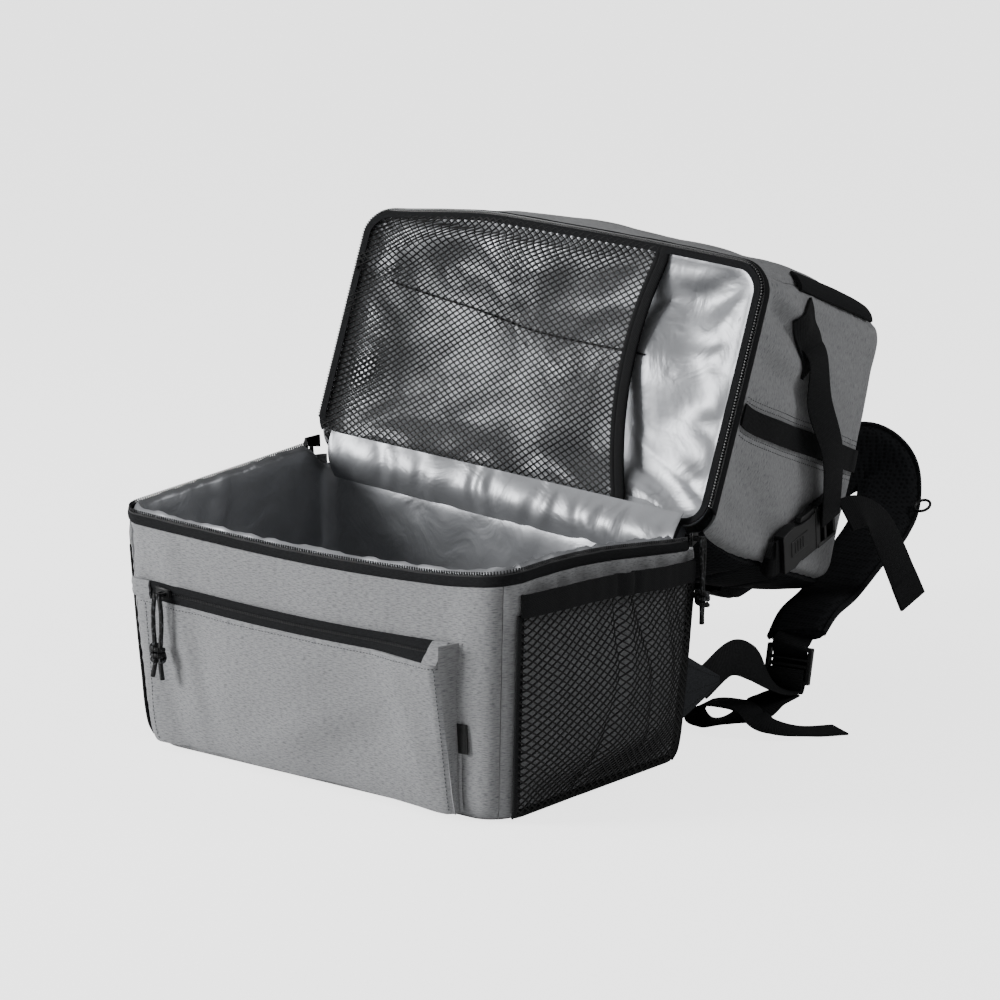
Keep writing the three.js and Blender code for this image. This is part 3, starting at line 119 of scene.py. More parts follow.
# Creases: from turn and rise, to turn and rise, half width, and height (below 0 for a valley), in millimetres
FRONT_CREASES = (
    (0.04, 0.9, 0.1, 0.05, 16, -2.6),
    (0.13, 0.95, 0.16, 0.2, 12, 2.2),
    (0.5, 0.98, 0.97, 0.72, 14, -1.8),
    (0.93, 0.95, 0.9, 0.1, 10, 1.8),
)
POCKET_CREASES = (
    (0.03, 1, 0.12, 0, 13, -3.4),
    (0.14, 0.97, 0.19, 0.3, 10, 2.8),
    (0.2, 0.55, 0.24, 0.05, 14, -2.0),
    (0.36, 0.1, 0.75, 0.62, 15, 2.6),
    (0.6, 0.2, 0.9, 0.6, 18, -1.6),
    (0.5, 0.95, 0.95, 0.55, 13, -1.6),
    (0.84, 0.95, 0.95, 0.05, 13, 2.4),
)
SIDE_CREASES = (
    (1.02, 0.04, 1.13, 0.3, 7, 4.6),
    (1.06, 0.0, 1.22, 0.32, 6, -4.4),
    (1.13, 0.3, 1.19, 0.5, 9, 3.6),
    (1.2, 0.02, 1.3, 0.34, 9, 3.6),
    (1.33, 0.02, 1.36, 0.4, 8, -3.4),
    (1.42, 0.05, 1.44, 0.5, 12, 2.4),
    (1.62, 0.25, 1.9, 0.55, 12, 3.2),
    (1.68, 0.02, 1.8, 0.3, 10, -3.0),
    (1.86, 0.08, 1.9, 0.85, 9, -3.4),
    (1.3, 0.62, 1.32, 0.95, 16, 2.8),
    (1.02, 0.86, 1.98, 0.87, 3, -2.2),
)
TOP_CREASES = (
    (0.35, 0.02, 0.6, 0.75, 16, 1.8),
    (0.72, 0.0, 0.9, 0.7, 12, -2.0),
    (0.85, 0.02, 0.97, 0.5, 8, 2.4),
    (0.1, 0.1, 0.25, 0.9, 16, -1.6),
)
NET_CREASES = (
    (0.47, 1, 0.46, 0.6, 4, -6),
    (0.46, 0.6, 0.33, 0.02, 5, -5),
    (0.53, 1, 0.5, 0.5, 6, 4),
    (0.57, 1, 0.67, 0.55, 4, -6),
    (0.67, 0.55, 0.69, 0.2, 5, -4),
    (0.75, 1, 0.8, 0.4, 6, 4),
    (0.86, 1, 0.95, 0.55, 4, -5),
    (0.2, 1, 0.1, 0.3, 9, 3),
)
LID_NET_CREASES = (
    (0, 0.76, 0.4, 0.99, 6, 11),
    (0.02, 0.7, 0.36, 0.9, 9, -3),
    (0, 0.6, 0.5, 0.7, 14, 4),
    (0.1, 0.3, 0.95, 0.42, 16, -5),
    (0.15, 0.12, 0.8, 0.15, 12, 4),
    (0.55, 0.97, 0.75, 0.5, 10, 3),
)

lerp = lambda a, b, t: a + (b - a) * t
clamp = lambda value, low, high: max(low, min(high, value))


def smoothstep(value, low, high):
    t = clamp((value - low) / (high - low), 0, 1)
    return t * t * (3 - 2 * t)


def even(low, high, pieces):
    return [lerp(low, high, i / pieces) for i in range(pieces + 1)]


def read_table(rows, value):
    """A column of a table, read smoothly through all its rows."""
    value = clamp(value, rows[0][0], rows[-1][0])
    i = next((k for k in range(len(rows) - 1) if rows[k + 1][0] >= value), len(rows) - 2)
    (x0, y0), (x1, y1) = rows[i], rows[i + 1]
    step = x1 - x0
    slope = (y1 - y0) / step
    before = (y1 - rows[i - 1][1]) / (x1 - rows[i - 1][0]) if i else slope
    after = (rows[i + 2][1] - y0) / (rows[i + 2][0] - x0) if i + 2 < len(rows) else slope
    t = (value - x0) / step
    ease = t * t * (3 - 2 * t)
    return y0 + (y1 - y0) * ease + step * t * (1 - t) * ((1 - t) * before - t * after)


def outline(half_x, half_y, turn):
    """A rounded rectangle by turn: 0 to 1 the front, 1 to 2 the right side, then the back and the left."""
    side, share = math.floor(turn) % 4, turn - math.floor(turn)
    half, reach = (half_y, half_x) if side % 2 else (half_x, half_y)
    straight = half - CORNER_RADIUS
    run = (share - 0.5) * 2 * (straight + CORNER_RADIUS * math.pi / 4)
    angle = max(0, abs(run) - straight) / CORNER_RADIUS
    along = math.copysign(min(abs(run), straight) + CORNER_RADIUS * math.sin(angle), run)
    off = reach - CORNER_RADIUS * (1 - math.cos(angle))
    heading = side * math.pi / 2
    out = Vector((math.sin(heading), -math.cos(heading), 0))
    point = Vector((math.cos(heading), math.sin(heading), 0)) * along + out * off
    return point, out, share, side


def dent_depth(dents, turn, rise, depth):
    wrapped = turn % 4
    return sum(
        depth * deep * math.exp(-(((wrapped - at) / wide) ** 2) - ((rise - up) / high) ** 2)
        for at, up, wide, high, deep in dents
    )


def rim_height(turn, point):
    back = clamp(point.y / DEPTH + 0.5, 0, 1)
    hinge = HINGE_RISE - math.tan(math.radians(OPENING_ROLL)) * point.x
    return LOWER_HEIGHT * (1 + read_table(RIM_LIFTS, turn % 4)) + hinge * back


def lower_surface(turn, rise):
    """Outer cloth of the lower half."""
    half_x = WIDTH / 2 * read_table(LOWER_WIDTHS, rise)
    half_y = DEPTH / 2 * read_table(LOWER_DEPTHS, rise)
    point, out, share, side = outline(half_x, half_y, turn)
    swell = CLOTH * (2 if side % 2 else 1.5)
    hump = (math.sin(math.pi * share) * math.sin(math.pi * clamp(rise, 0, 1))) ** 2
    point += out * (swell * hump - dent_depth(LOWER_DENTS, turn, rise, DEPTH))
    point.z = rise * rim_height(turn, point)
    return point


def closed_upper(turn, rise):
    """Outer cloth of the upper half while the bag is closed, from the middle of the hinge."""
    half_x = WIDTH / 2 * read_table(UPPER_WIDTHS, rise)
    half_y = UPPER_DEPTH / 2 * read_table(UPPER_DEPTHS, rise)
    point, out, share, side = outline(half_x, half_y, turn)
    swell = (FRONT_CROWN, CLOTH, 0, CLOTH)[side]
    hump = (1 - abs(2 * share - 1) ** 3) * math.sin(math.pi * clamp(rise * 0.85 + 0.05, 0, 1))
    point += out * (swell * hump - dent_depth(UPPER_DENTS, turn, rise, UPPER_DEPTH))
    from_corner = abs(turn - 4 * math.floor(turn / 4 + 0.5))
    droop = CORNER_DROOP * (1 - smoothstep(from_corner, 0, 0.35)) * (1 - clamp(rise, 0, 1))
    point.y += UPPER_DEPTH * read_table(UPPER_BACKS, rise) + droop - half_y
    point.z = rise * (UPPER_LENGTH + BACK_FLARE * clamp(1 + point.y / UPPER_DEPTH, 0, 1))
    return point


TURNED = [
    Matrix.Rotation(math.radians(angle), 4, axis)
    for angle, axis in ((OPENING_YAW, "Z"), (OPENING_ROLL, "Y"), (-OPENING_ANGLE, "X"))
]
UPPER_PLACE = Matrix.Translation((0, DEPTH / 2 - HINGE_INSET, LOWER_HEIGHT + HINGE_RISE))
UPPER = UPPER_PLACE @ TURNED[0] @ TURNED[1] @ TURNED[2]


def upper_surface(turn, rise):
    """Outer cloth of the upper half, folded back."""
    return UPPER @ closed_upper(turn, rise)


def normal_of(surface, u, v, step=2e-3):
    along_u = surface(u + step, v) - surface(u - step, v)
    along_v = surface(u, v + step) - surface(u, v - step)
    return along_u.cross(along_v).normalized()


def off_surface(surface, u, v, distance):
    return surface(u, v) + normal_of(surface, u, v) * distance


def creases(rows, u, v, across, up):
    """Height of the folds that a table gives, on a surface of that many millimetres each way."""
    total = 0
    for u0, v0, u1, v1, wide, high in rows:
        run = Vector(((u1 - u0) * across, (v1 - v0) * up))
        here = Vector(((u - u0) * across, (v - v0) * up))
        t = clamp(here.dot(run) / run.length_squared, 0, 1)
        off = (here - run * t).length / wide
        total += high * math.exp(-off * off) * (1 - 0.5 * abs(2 * t - 1))
    return total


def unevenness(point, size, height, seed=0):
    """Soft rise and fall of cloth, with swells of a given size."""
    return height * noise.noise(Vector(point) / size + Vector((seed * 7.3, seed * 3.1, seed * 5.7)))


def seam_roll(share, length, depth=1.3, reach=3.5):
    """Cloth that rolls in to its seams at both ends of a run."""
    return -depth * math.exp(-(min(share, 1 - share) * length / reach) ** 2)


def pucker(share, length, run, height=0.6, pitch=9, reach=14):
    """Small ripples that a seam draws up beside it."""
    edge = min(share, 1 - share) * length
    phase = noise.noise(Vector((run / pitch * 0.4, share * 3, 1))) * 4
    return height * math.sin(2 * math.pi * run / pitch + phase) * math.exp(-((edge / reach) ** 2))


# Sizes and colours that a user would change


def linear(code):
    """An sRGB hex colour as linear red, green, blue and alpha."""
    parts = [int(code[i : i + 2], 16) / 255 for i in (1, 3, 5)]
    return (*((c / 12.92 if c <= 0.04045 else ((c + 0.055) / 1.055) ** 2.4) for c in parts), 1.0)


def length_property(label, note, millimetres):
    return bpy.props.FloatProperty(
        name=label, description=note, default=millimetres * MM, unit="LENGTH", subtype="DISTANCE", precision=5
    )


def colour_property(label, note, code):
    return bpy.props.FloatVectorProperty(
        name=label, description=note, default=linear(code), size=4, min=0, max=1, subtype="COLOR"
    )


class BackpackSizes(bpy.types.PropertyGroup):
    side_cell: length_property("Side net cell", "Width of a diamond of the side nets", 7.6)
    lid_cell: length_property("Lid net cell", "Width of a diamond of the lid's net", 6.2)
    net_thread: length_property("Net thread", "Thickness of the nets' knitted thread", 1.3)
    tooth_pitch: length_property("Tooth pitch", "From one tooth of the main zip to the next", 2.0)
    stitch_pitch: length_property("Stitch pitch", "From one stitch to the next", 2.7)
    rib_pitch: length_property("Webbing rib", "From one rib of the webbing to the next", 1.5)


class BackpackColours(bpy.types.PropertyGroup):
    heather: colour_property("Heather cloth", "Light yarn of the outer cloth", "#a5a6a8")
    heather_dark: colour_property("Heather fleck", "Dark yarn of the outer cloth", "#7e7f82")
    back_cloth: colour_property("Back cloth", "Plain dark cloth of the back and tabs", "#2c2e31")
    webbing: colour_property("Webbing", "Straps, bands and tapes", "#0d0e10")
    tape: colour_property("Zip tape", "Twill tape along the zips", "#131416")
    net: colour_property("Net", "Thread of the nets", "#0c0d0e")
    foil: colour_property("Foil", "Silver lining", "#adafb3")
    plastic: colour_property("Plastic", "Buckles, locks and sliders", "#0b0c0d")
    floor: colour_property("Floor", "Pale studio floor", "#f2f2f2")


def sizes():
    return bpy.context.scene.backpack_sizes


def colours():
    return bpy.context.scene.backpack_colours


# Nodes and materials


def add_node(tree, kind, settings=None, **inputs):
    """Adds a node. An input is named by its socket, or by _ and its number.

    A socket is linked, and a value is set.
    """
    made = tree.nodes.new(kind)
    for key, value in (settings or {}).items():
        setattr(made, key, value)
    for key, value in inputs.items():
        socket = made.inputs[int(key[1:]) if key[0] == "_" else key.replace("_", " ")]
        if isinstance(value, bpy.types.NodeSocket):
            tree.links.new(value, socket)
        else:
            socket.default_value = value
    return made


def new_material(name, on_object=False):
    """An empty material with its shader, and the coordinates that its patterns read, in metres."""
    material = bpy.data.materials.new(name)
    material.use_nodes = True
    tree = material.node_tree
    tree.nodes.clear()
    shader = add_node(tree, "ShaderNodeBsdfPrincipled")
    add_node(tree, "ShaderNodeOutputMaterial", Surface=shader.outputs[0])
    if on_object:
        where = add_node(tree, "ShaderNodeTexCoord").outputs["Object"]
    else:
        where = add_node(tree, "ShaderNodeUVMap", {"uv_map": "UVMap"}).outputs[0]
    return material, tree, shader, where


def mottle(tree, where, stretch, pair, low=0.35, high=0.65, detail=2):
    """A colour that wanders between two, in flecks of the given sizes in millimetres along and across."""
    scale = tuple(1 / (size * MM) for size in stretch)
    mapping = add_node(tree, "ShaderNodeMapping", Vector=where, Scale=scale)
    flecks = add_node(tree, "ShaderNodeTexNoise", Vector=mapping.outputs[0], Scale=1, Detail=detail)
    ramp = add_node(tree, "ShaderNodeValToRGB", Fac=flecks.outputs[0])
    for element, position, colour in zip(ramp.color_ramp.elements, (low, high), pair):
        element.position, element.color = position, colour
    return ramp.outputs[0]


def weave_height(tree, where, across, along, turned=0):
    """Height of crossing threads whose spacings are given in millimetres."""
    mapping = add_node(tree, "ShaderNodeMapping", Vector=where, Rotation=(0, 0, math.radians(turned)))
    waves = [
        add_node(
            tree,
            "ShaderNodeTexWave",
            {"bands_direction": axis},
            Vector=mapping.outputs[0],
            Scale=math.pi / 10 / (pitch * MM),
            Distortion=0.6,
        ).outputs["Fac"]
        for axis, pitch in (("X", across), ("Y", along))
    ]
    return add_node(tree, "ShaderNodeMath", {"operation": "ADD"}, _0=waves[0], _1=waves[1]).outputs[0]


def bumped(tree, shader, height, distance, strength=1.0, under=None):
    bump = add_node(tree, "ShaderNodeBump", Height=height, Distance=distance * MM, Strength=strength)
    if under is not None:
        tree.links.new(under, bump.inputs["Normal"])
    tree.links.new(bump.outputs[0], shader.inputs["Normal"])
    return bump.outputs[0]


def heather_polyester():
    """Melange polyester canvas: short horizontal flecks of light and dark yarn, 4.2 mm by 0.5 mm.

    Its 0.7 mm plain weave is drawn coarser than the real 0.4 mm so that it shows. Matt, with a faint sheen.
    """
    material, tree, shader, where = new_material("heather_polyester")
    light, dark = tuple(colours().heather), tuple(colours().heather_dark)
    flecks = mottle(tree, where, (4.2, 0.5, 4.2), (dark, light), 0.34, 0.54, 2)
    shade = mottle(tree, where, (1.6, 1.6, 1.6), ((0.9, 0.9, 0.9, 1), (1, 1, 1, 1)), 0.4, 0.6)
    colour = add_node(tree, "ShaderNodeMix", {"data_type": "RGBA", "blend_type": "MULTIPLY"}, _0=1.0)
    tree.links.new(flecks, colour.inputs[6])
    tree.links.new(shade, colour.inputs[7])
    tree.links.new(colour.outputs[2], shader.inputs["Base Color"])
    bumped(tree, shader, weave_height(tree, where, 0.7, 0.7), 0.06, 0.4)
    shader.inputs["Roughness"].default_value = 0.88
    shader.inputs["Sheen Weight"].default_value = 0.12
    shader.inputs["Specular IOR Level"].default_value = 0.25
    return material


def plain_cloth(name, code, pitch, roughness=0.85, on_object=False, depth=0.15):
    """Plain woven synthetic cloth or tape of one colour, with its thread spacing in millimetres."""
    material, tree, shader, where = new_material(name, on_object)
    lifted = tuple(min(1, c * 1.5 + 0.002) for c in code[:3]) + (1,)
    tree.links.new(mottle(tree, where, (2.5, 0.9, 2.5), (tuple(code), lifted)), shader.inputs["Base Color"])
    bumped(tree, shader, weave_height(tree, where, pitch, pitch, 35), depth, 0.6)
    shader.inputs["Roughness"].default_value = roughness
    shader.inputs["Specular IOR Level"].default_value = 0.3
    return material


def ribbed_webbing():
    """Polyester strap webbing: ribs across its length every 1.5 mm with a finer thread between them.

    Near black and dull, so that only the ribs catch the light.
    """
    material, tree, shader, where = new_material("polyester_webbing")
    base = tuple(colours().webbing)
    lifted = tuple(c * 1.9 + 0.002 for c in base[:3]) + (1,)
    tree.links.new(mottle(tree, where, (1.2, 3, 1.2), (base, lifted)), shader.inputs["Base Color"])
    bumped(tree, shader, weave_height(tree, where, 0.8, sizes().rib_pitch / MM), 0.3, 0.7)
    shader.inputs["Roughness"].default_value = 0.78
    shader.inputs["Specular IOR Level"].default_value = 0.3
    return material


def spacer_mesh():
    """Knitted spacer mesh of the pads: small round eyes about 3 mm apart in a soft black face. The eyes are
    painted darker than the face around them, as painted shade in their hollows.
    """
    material, tree, shader, where = new_material("spacer_mesh", on_object=True)
    eyes = add_node(tree, "ShaderNodeTexVoronoi", Vector=where, Scale=1 / (3 * MM), Randomness=0.25)
    # painted shade: the ramp darkens the eyes' hollows and keeps the face around them lighter
    ramp = add_node(tree, "ShaderNodeValToRGB", Fac=eyes.outputs["Distance"])
    base = tuple(colours().webbing)
    lifted = tuple(c * 2.4 + 0.004 for c in base[:3]) + (1,)
    for element, position, colour in zip(ramp.color_ramp.elements, (0.25, 0.5), (base, lifted)):
        element.position, element.color = position, colour
    tree.links.new(ramp.outputs[0], shader.inputs["Base Color"])
    bumped(tree, shader, eyes.outputs["Distance"], 0.9, 0.6)
    shader.inputs["Roughness"].default_value = 0.9
    shader.inputs["Specular IOR Level"].default_value = 0.2
    return material


def peva_foil():
    """Silver PEVA film that is welded to foam: a satin metal look with broad soft highlights.

    Its soft folds are about 34 mm apart, and the film has a slight grain of about 7 mm.
    """
    material, tree, shader, where = new_material("peva_foil", on_object=True)
    silver = tuple(colours().foil)
    dull = tuple(c * 0.8 for c in silver[:3]) + (1,)
    tree.links.new(mottle(tree, where, (50, 50, 50), (dull, silver)), shader.inputs["Base Color"])
    folds = add_node(tree, "ShaderNodeTexNoise", Vector=where, Scale=1 / (34 * MM), Detail=3, Distortion=1.2)
    grain = add_node(tree, "ShaderNodeTexNoise", Vector=where, Scale=1 / (7 * MM), Detail=2)
    under = bumped(tree, shader, grain.outputs[0], 0.35, 0.35)
    bumped(tree, shader, folds.outputs[0], 3, 0.4, under)
    shader.inputs["Metallic"].default_value = 0.6
    shader.inputs["Roughness"].default_value = 0.4
    return material


def moulded_plastic(name, code, roughness, grain=0.6):
    """Injection-moulded acetal or nylon: near black, half matt, with a fine spark-eroded grain."""
    material, tree, shader, where = new_material(name, on_object=True)
    lifted = tuple(c * 1.5 + 0.002 for c in code[:3]) + (1,)
    tree.links.new(mottle(tree, where, (6, 6, 6), (tuple(code), lifted)), shader.inputs["Base Color"])
    speck = add_node(tree, "ShaderNodeTexNoise", Vector=where, Scale=1 / (grain * MM), Detail=1)
    bumped(tree, shader, speck.outputs[0], 0.05, 0.5)
    shader.inputs["Roughness"].default_value = roughness
    return material


def braided_cord():
    """Braided cord of the zip pulls: black strands that spiral both ways, 1.6 mm apart, with pale flecks."""
    material, tree, shader, where = new_material("braided_cord", on_object=True)
    base = tuple(colours().net)
    pale = linear("#5a5c60")
    flecks = mottle(tree, where, (1.5, 1.5, 2.4), (base, pale), 0.56, 0.8, 0)
    tree.links.new(flecks, shader.inputs["Base Color"])
    bumped(tree, shader, weave_height(tree, where, 1.6, 1.6, 45), 0.35, 0.8)
    shader.inputs["Roughness"].default_value = 0.6
    return material


MATERIALS = {}


def make_materials():
    tints = colours()
    MATERIALS.update(
        heather=heather_polyester(),
        dark_cloth=plain_cloth("back_panel_polyester", tints.back_cloth, 0.8),
        webbing=ribbed_webbing(),
        tape=plain_cloth("zip_tape_twill", tints.tape, 0.9, 0.92),
        elastic=plain_cloth("binding_elastic", tints.webbing, 1.2, 0.8, depth=0.3),
        label=plain_cloth("label_satin", linear("#0e0f10"), 0.5, 0.5),
        spacer=spacer_mesh(),
        foil=peva_foil(),
        net=moulded_plastic("nylon_net_thread", tints.net, 0.62, 0.9),
        coil=moulded_plastic("nylon_zip_coil", linear("#1a1b1d"), 0.3),
        acetal=moulded_plastic("acetal_buckle", tints.plastic, 0.42),
        slider=moulded_plastic("painted_zinc_slider", tints.plastic, 0.3),
        cord=braided_cord(),
        thread=plain_cloth("sewing_thread", linear("#3f4144"), 0.4, 0.7),
        thread_black=plain_cloth("sewing_thread_black", linear("#17181a"), 0.4, 0.7),
    )


# Meshes


def finish_piece(obj, material, replaced=()):
    """Hangs a piece on the frame with its material, and hides the CAD nodes that it stands for."""
    obj.data.materials.clear()
    obj.data.materials.append(MATERIALS[material])
    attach(obj, "root")
    if replaced:
        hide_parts(*([replaced] if isinstance(replaced, str) else replaced))
    return obj


def new_piece(name, points, faces, uvs, sharp):
    """A mesh object at the origin from points in millimetres, with a UV pair in metres for each point."""
    mesh = bpy.data.meshes.new(name)
    mesh.from_pydata((np.asarray(points, float) * MM).tolist(), [], faces)
    layer = mesh.uv_layers.new(name="UVMap")
    for loop in mesh.loops:
        layer.data[loop.index].uv = uvs[loop.vertex_index]
    bm = bmesh.new()
    bm.from_mesh(mesh)
    bmesh.ops.recalc_face_normals(bm, faces=bm.faces)
    bm.to_mesh(mesh)
    bm.free()
    mesh.shade_smooth()
    mesh.set_sharp_from_angle(angle=math.radians(sharp))
    obj = bpy.data.objects.new(name, mesh)
    bpy.context.scene.collection.objects.link(obj)
    return obj


def run_lengths(points, axis):
    """How far each row or column of a grid lies along it, in metres, by its middle line."""
    middle = points.shape[1 - axis] // 2
    line = points[:, middle] if axis == 0 else points[middle]
    steps = np.linalg.norm(np.diff(line, axis=0), axis=1)
    return np.concatenate([[0], np.cumsum(steps)]) * MM


def sheet_piece(name, over, under, sharp=45):
    """A closed sheet from two grids of points, with its UV map in metres."""
    nu, nv = over.shape[:2]
    count = nu * nv
    index = np.arange(count).reshape(nu, nv)
    a, b, c, d = index[:-1, :-1], index[1:, :-1], index[1:, 1:], index[:-1, 1:]
    top = np.stack([a, b, c, d], -1).reshape(-1, 4)
    bottom = top[:, ::-1] + count
    loop = np.concatenate([index[:, 0], index[-1, 1:], index[-2::-1, -1], index[0, -2:0:-1]])
    after = np.roll(loop, -1)
    rim = np.stack([after, loop, loop + count, after + count], -1)
    faces = np.concatenate([top, bottom, rim]).tolist()
    us, vs = run_lengths(over, 0), run_lengths(over, 1)
    uvs = [(u, v) for u in us for v in vs] * 2
    points = np.concatenate([over.reshape(-1, 3), under.reshape(-1, 3)])
    obj = new_piece(name, points, faces, uvs, sharp)
    obj["flat"] = [float(us[-1]), float(vs[-1])]
    return obj


def grid_of(surface, us, vs):
    """A surface's points on a grid, and its outward normals there."""
    base = np.array([[tuple(surface(u, v)) for v in vs] for u in us])
    normals = np.cross(np.gradient(base, axis=0), np.gradient(base, axis=1))
    return base, normals / np.linalg.norm(normals, axis=2, keepdims=True)


def layered(surface, us, vs, inner, outer):
    """Two grids of points off a surface, by offsets that are numbers or functions of (u, v, point)."""
    base, normals = grid_of(surface, us, vs)
    grids = []
    for offset in (outer, inner):
        if callable(offset):
            rows = [[offset(u, v, base[i, j]) for j, v in enumerate(vs)] for i, u in enumerate(us)]
            amount = np.array(rows)
        else:
            amount = np.full(base.shape[:2], float(offset))
        grids.append(base + normals * amount[..., None])
    return grids


def cloth_piece(name, surface, us, vs, inner, outer, material, replaced=(), held="stretched", sharp=45):
    """A closed cloth sheet on a surface. When held is given, its flat size is worked out, but nothing is kept.
    """
    obj = sheet_piece(name, *layered(surface, us, vs, inner, outer), sharp)
    finish_piece(obj, material, replaced)
    if held:
        declare_sheet(obj)
    return obj


def declare_sheet(obj):
    """Works out how large a sheet was cut, from its lengths and half its surface. The result is not kept."""
    bm = bmesh.new()
    bm.from_mesh(obj.data)
    area = sum(face.calc_area() for face in bm.faces) / 2
    bm.free()
    width, length = (max(0.0101, side) for side in obj["flat"])
    area = clamp(area, 0.31 * width * length, width * length)


def ring_piece(name, rings, sharp=45, capped=(True, True)):
    """A tube through equal rings of points, closed at its ends, with its UV map in metres."""
    rings = np.asarray([[tuple(p) for p in ring] for ring in rings], float)
    count, n = rings.shape[:2]
    index = np.arange(count * n).reshape(count, n)
    after = np.roll(index, -1, axis=1)
    walls = np.stack([index[:-1], after[:-1], after[1:], index[1:]], -1).reshape(-1, 4).tolist()
    ends = [index[0][::-1].tolist()] * capped[0] + [index[-1].tolist()] * capped[1]
    widest = rings[np.argmax(np.linalg.norm(np.diff(rings, axis=1), axis=2).sum(1))]
    across = np.concatenate([[0], np.cumsum(np.linalg.norm(np.diff(widest, axis=0), axis=1))]) * MM
    along = np.concatenate([[0], np.cumsum(np.linalg.norm(np.diff(rings, axis=0), axis=2).mean(1))]) * MM
    uvs = [(a, b) for b in along for a in across]
    return new_piece(name, rings.reshape(-1, 3), walls + ends, uvs, sharp)


def smooth_line(places, steps):
    """Points along a centripetal Catmull-Rom line through places, evenly by share."""
    places = [Vector(p) for p in places]
    padded = [places[0] * 2 - places[1], *places, places[-1] * 2 - places[-2]]
    line = []
    for k in range(steps + 1):
        at = (len(places) - 1) * k / steps
        i = min(int(at), len(places) - 2)
        t = at - i
        p0, p1, p2, p3 = padded[i : i + 4]
        d0, d1, d2 = [max(1e-4, (b - a).length ** 0.5) for a, b in ((p0, p1), (p1, p2), (p2, p3))]
        m1 = ((p1 - p0) / d0 - (p2 - p0) / (d0 + d1) + (p2 - p1) / d1) * d1
        m2 = ((p2 - p1) / d1 - (p3 - p1) / (d1 + d2) + (p3 - p2) / d2) * d1
        h = t * t * (3 - 2 * t)
        line.append(p1 + (p2 - p1) * h + m1 * (t * (1 - t) ** 2) - m2 * (t * t * (1 - t)))
    return line


FLAT_EDGE = (
    (-1, -0.45), (-0.95, -1), (0, -1), (0.95, -1), (1, -0.45),
    (1, 0.45), (0.95, 1), (0, 1), (-0.95, 1), (-1, 0.45),
)
PAD_EDGE = tuple(
    (math.copysign(abs(math.cos(a)) ** 0.55, math.cos(a)), math.copysign(abs(math.sin(a)) ** 0.75, math.sin(a)))
    for a in even(math.radians(5), math.radians(365), 24)[:-1]
)


def ribbon_piece(name, rows, widths, thickness, steps, profile=FLAT_EDGE, relief=None):
    """A strap along a smooth line. Each row is a place and the way that its face looks."""
    line = smooth_line([place for place, face in rows], steps)
    faces = smooth_line([face for place, face in rows], steps)
    rings = []
    length = 0
    for i, (centre, looks) in enumerate(zip(line, faces)):
        tangent = (line[min(i + 1, steps)] - line[max(i - 1, 0)]).normalized()
        side = tangent.cross(looks).normalized()
        face = side.cross(tangent).normalized()
        width = lerp(widths[0], widths[1], i / steps) / 2
        length += (line[i] - line[i - 1]).length if i else 0
        ring = []
        for p, q in profile:
            height = thickness / 2 + (relief(p, length) if relief else 0)
            ring.append(centre + side * (p * width) + face * (q * height))
        rings.append(ring)
    obj = ring_piece(name, rings)
    layer = obj.data.uv_layers["UVMap"].data
    n = len(profile)
    lengths = np.concatenate([[0], np.cumsum([(b - a).length for a, b in zip(line, line[1:])])]) * MM
    for loop in obj.data.loops:
        ring, corner = divmod(loop.vertex_index, n)
        layer[loop.index].uv = (profile[corner][0] * widths[0] / 2 * MM, lengths[ring])
    obj["flat"] = [sum(widths) / 2 * MM, float(lengths[-1])]
    return obj, line


# Geometry Nodes: what repeats along a line, and nets


def repeat_tree(name, shape):
    """Copies of a small shape along each line of a mesh. Its point attribute face says which way they look."""
    tree = bpy.data.node_groups.new(name, "GeometryNodeTree")
    tree.is_modifier = True
    tree.interface.new_socket("Geometry", in_out="INPUT", socket_type="NodeSocketGeometry")
    for label in ("Spacing", "Length", "Width", "Height"):
        tree.interface.new_socket(label, in_out="INPUT", socket_type="NodeSocketFloat")
    tree.interface.new_socket("Material", in_out="INPUT", socket_type="NodeSocketMaterial")
    tree.interface.new_socket("Geometry", in_out="OUTPUT", socket_type="NodeSocketGeometry")
    given = add_node(tree, "NodeGroupInput").outputs
    line = add_node(tree, "GeometryNodeMeshToCurve", Mesh=given["Geometry"])
    spaced = add_node(
        tree,
        "GeometryNodeResampleCurve",
        {"mode": "LENGTH"},
        Curve=line.outputs[0],
        Length=given["Spacing"],
    )
    if shape == "bar":
        copy = add_node(tree, "GeometryNodeMeshCube", Size=(1, 1, 1))
    else:
        copy = add_node(tree, "GeometryNodeMeshUVSphere", Segments=6, Rings=4, Radius=0.5)
    size = add_node(tree, "ShaderNodeCombineXYZ", X=given["Length"], Y=given["Width"], Z=given["Height"])
    scaled = add_node(tree, "GeometryNodeTransform", Geometry=copy.outputs["Mesh"], Scale=size.outputs[0])
    looks = add_node(tree, "GeometryNodeInputNamedAttribute", {"data_type": "FLOAT_VECTOR"}, Name="face")
    tangent = add_node(tree, "GeometryNodeInputTangent")
    turned = add_node(tree, "FunctionNodeAxesToRotation", {"primary_axis": "X", "secondary_axis": "Z"})
    tree.links.new(tangent.outputs[0], turned.inputs[0])
    tree.links.new(looks.outputs[0], turned.inputs[1])
    copies = add_node(
        tree,
        "GeometryNodeInstanceOnPoints",
        Points=spaced.outputs[0],
        Instance=scaled.outputs[0],
        Rotation=turned.outputs[0],
    )
    real = add_node(tree, "GeometryNodeRealizeInstances", Geometry=copies.outputs[0])
    done = add_node(tree, "GeometryNodeSetMaterial", Geometry=real.outputs[0], Material=given["Material"])
    add_node(tree, "NodeGroupOutput", Geometry=done.outputs[0])
    return tree


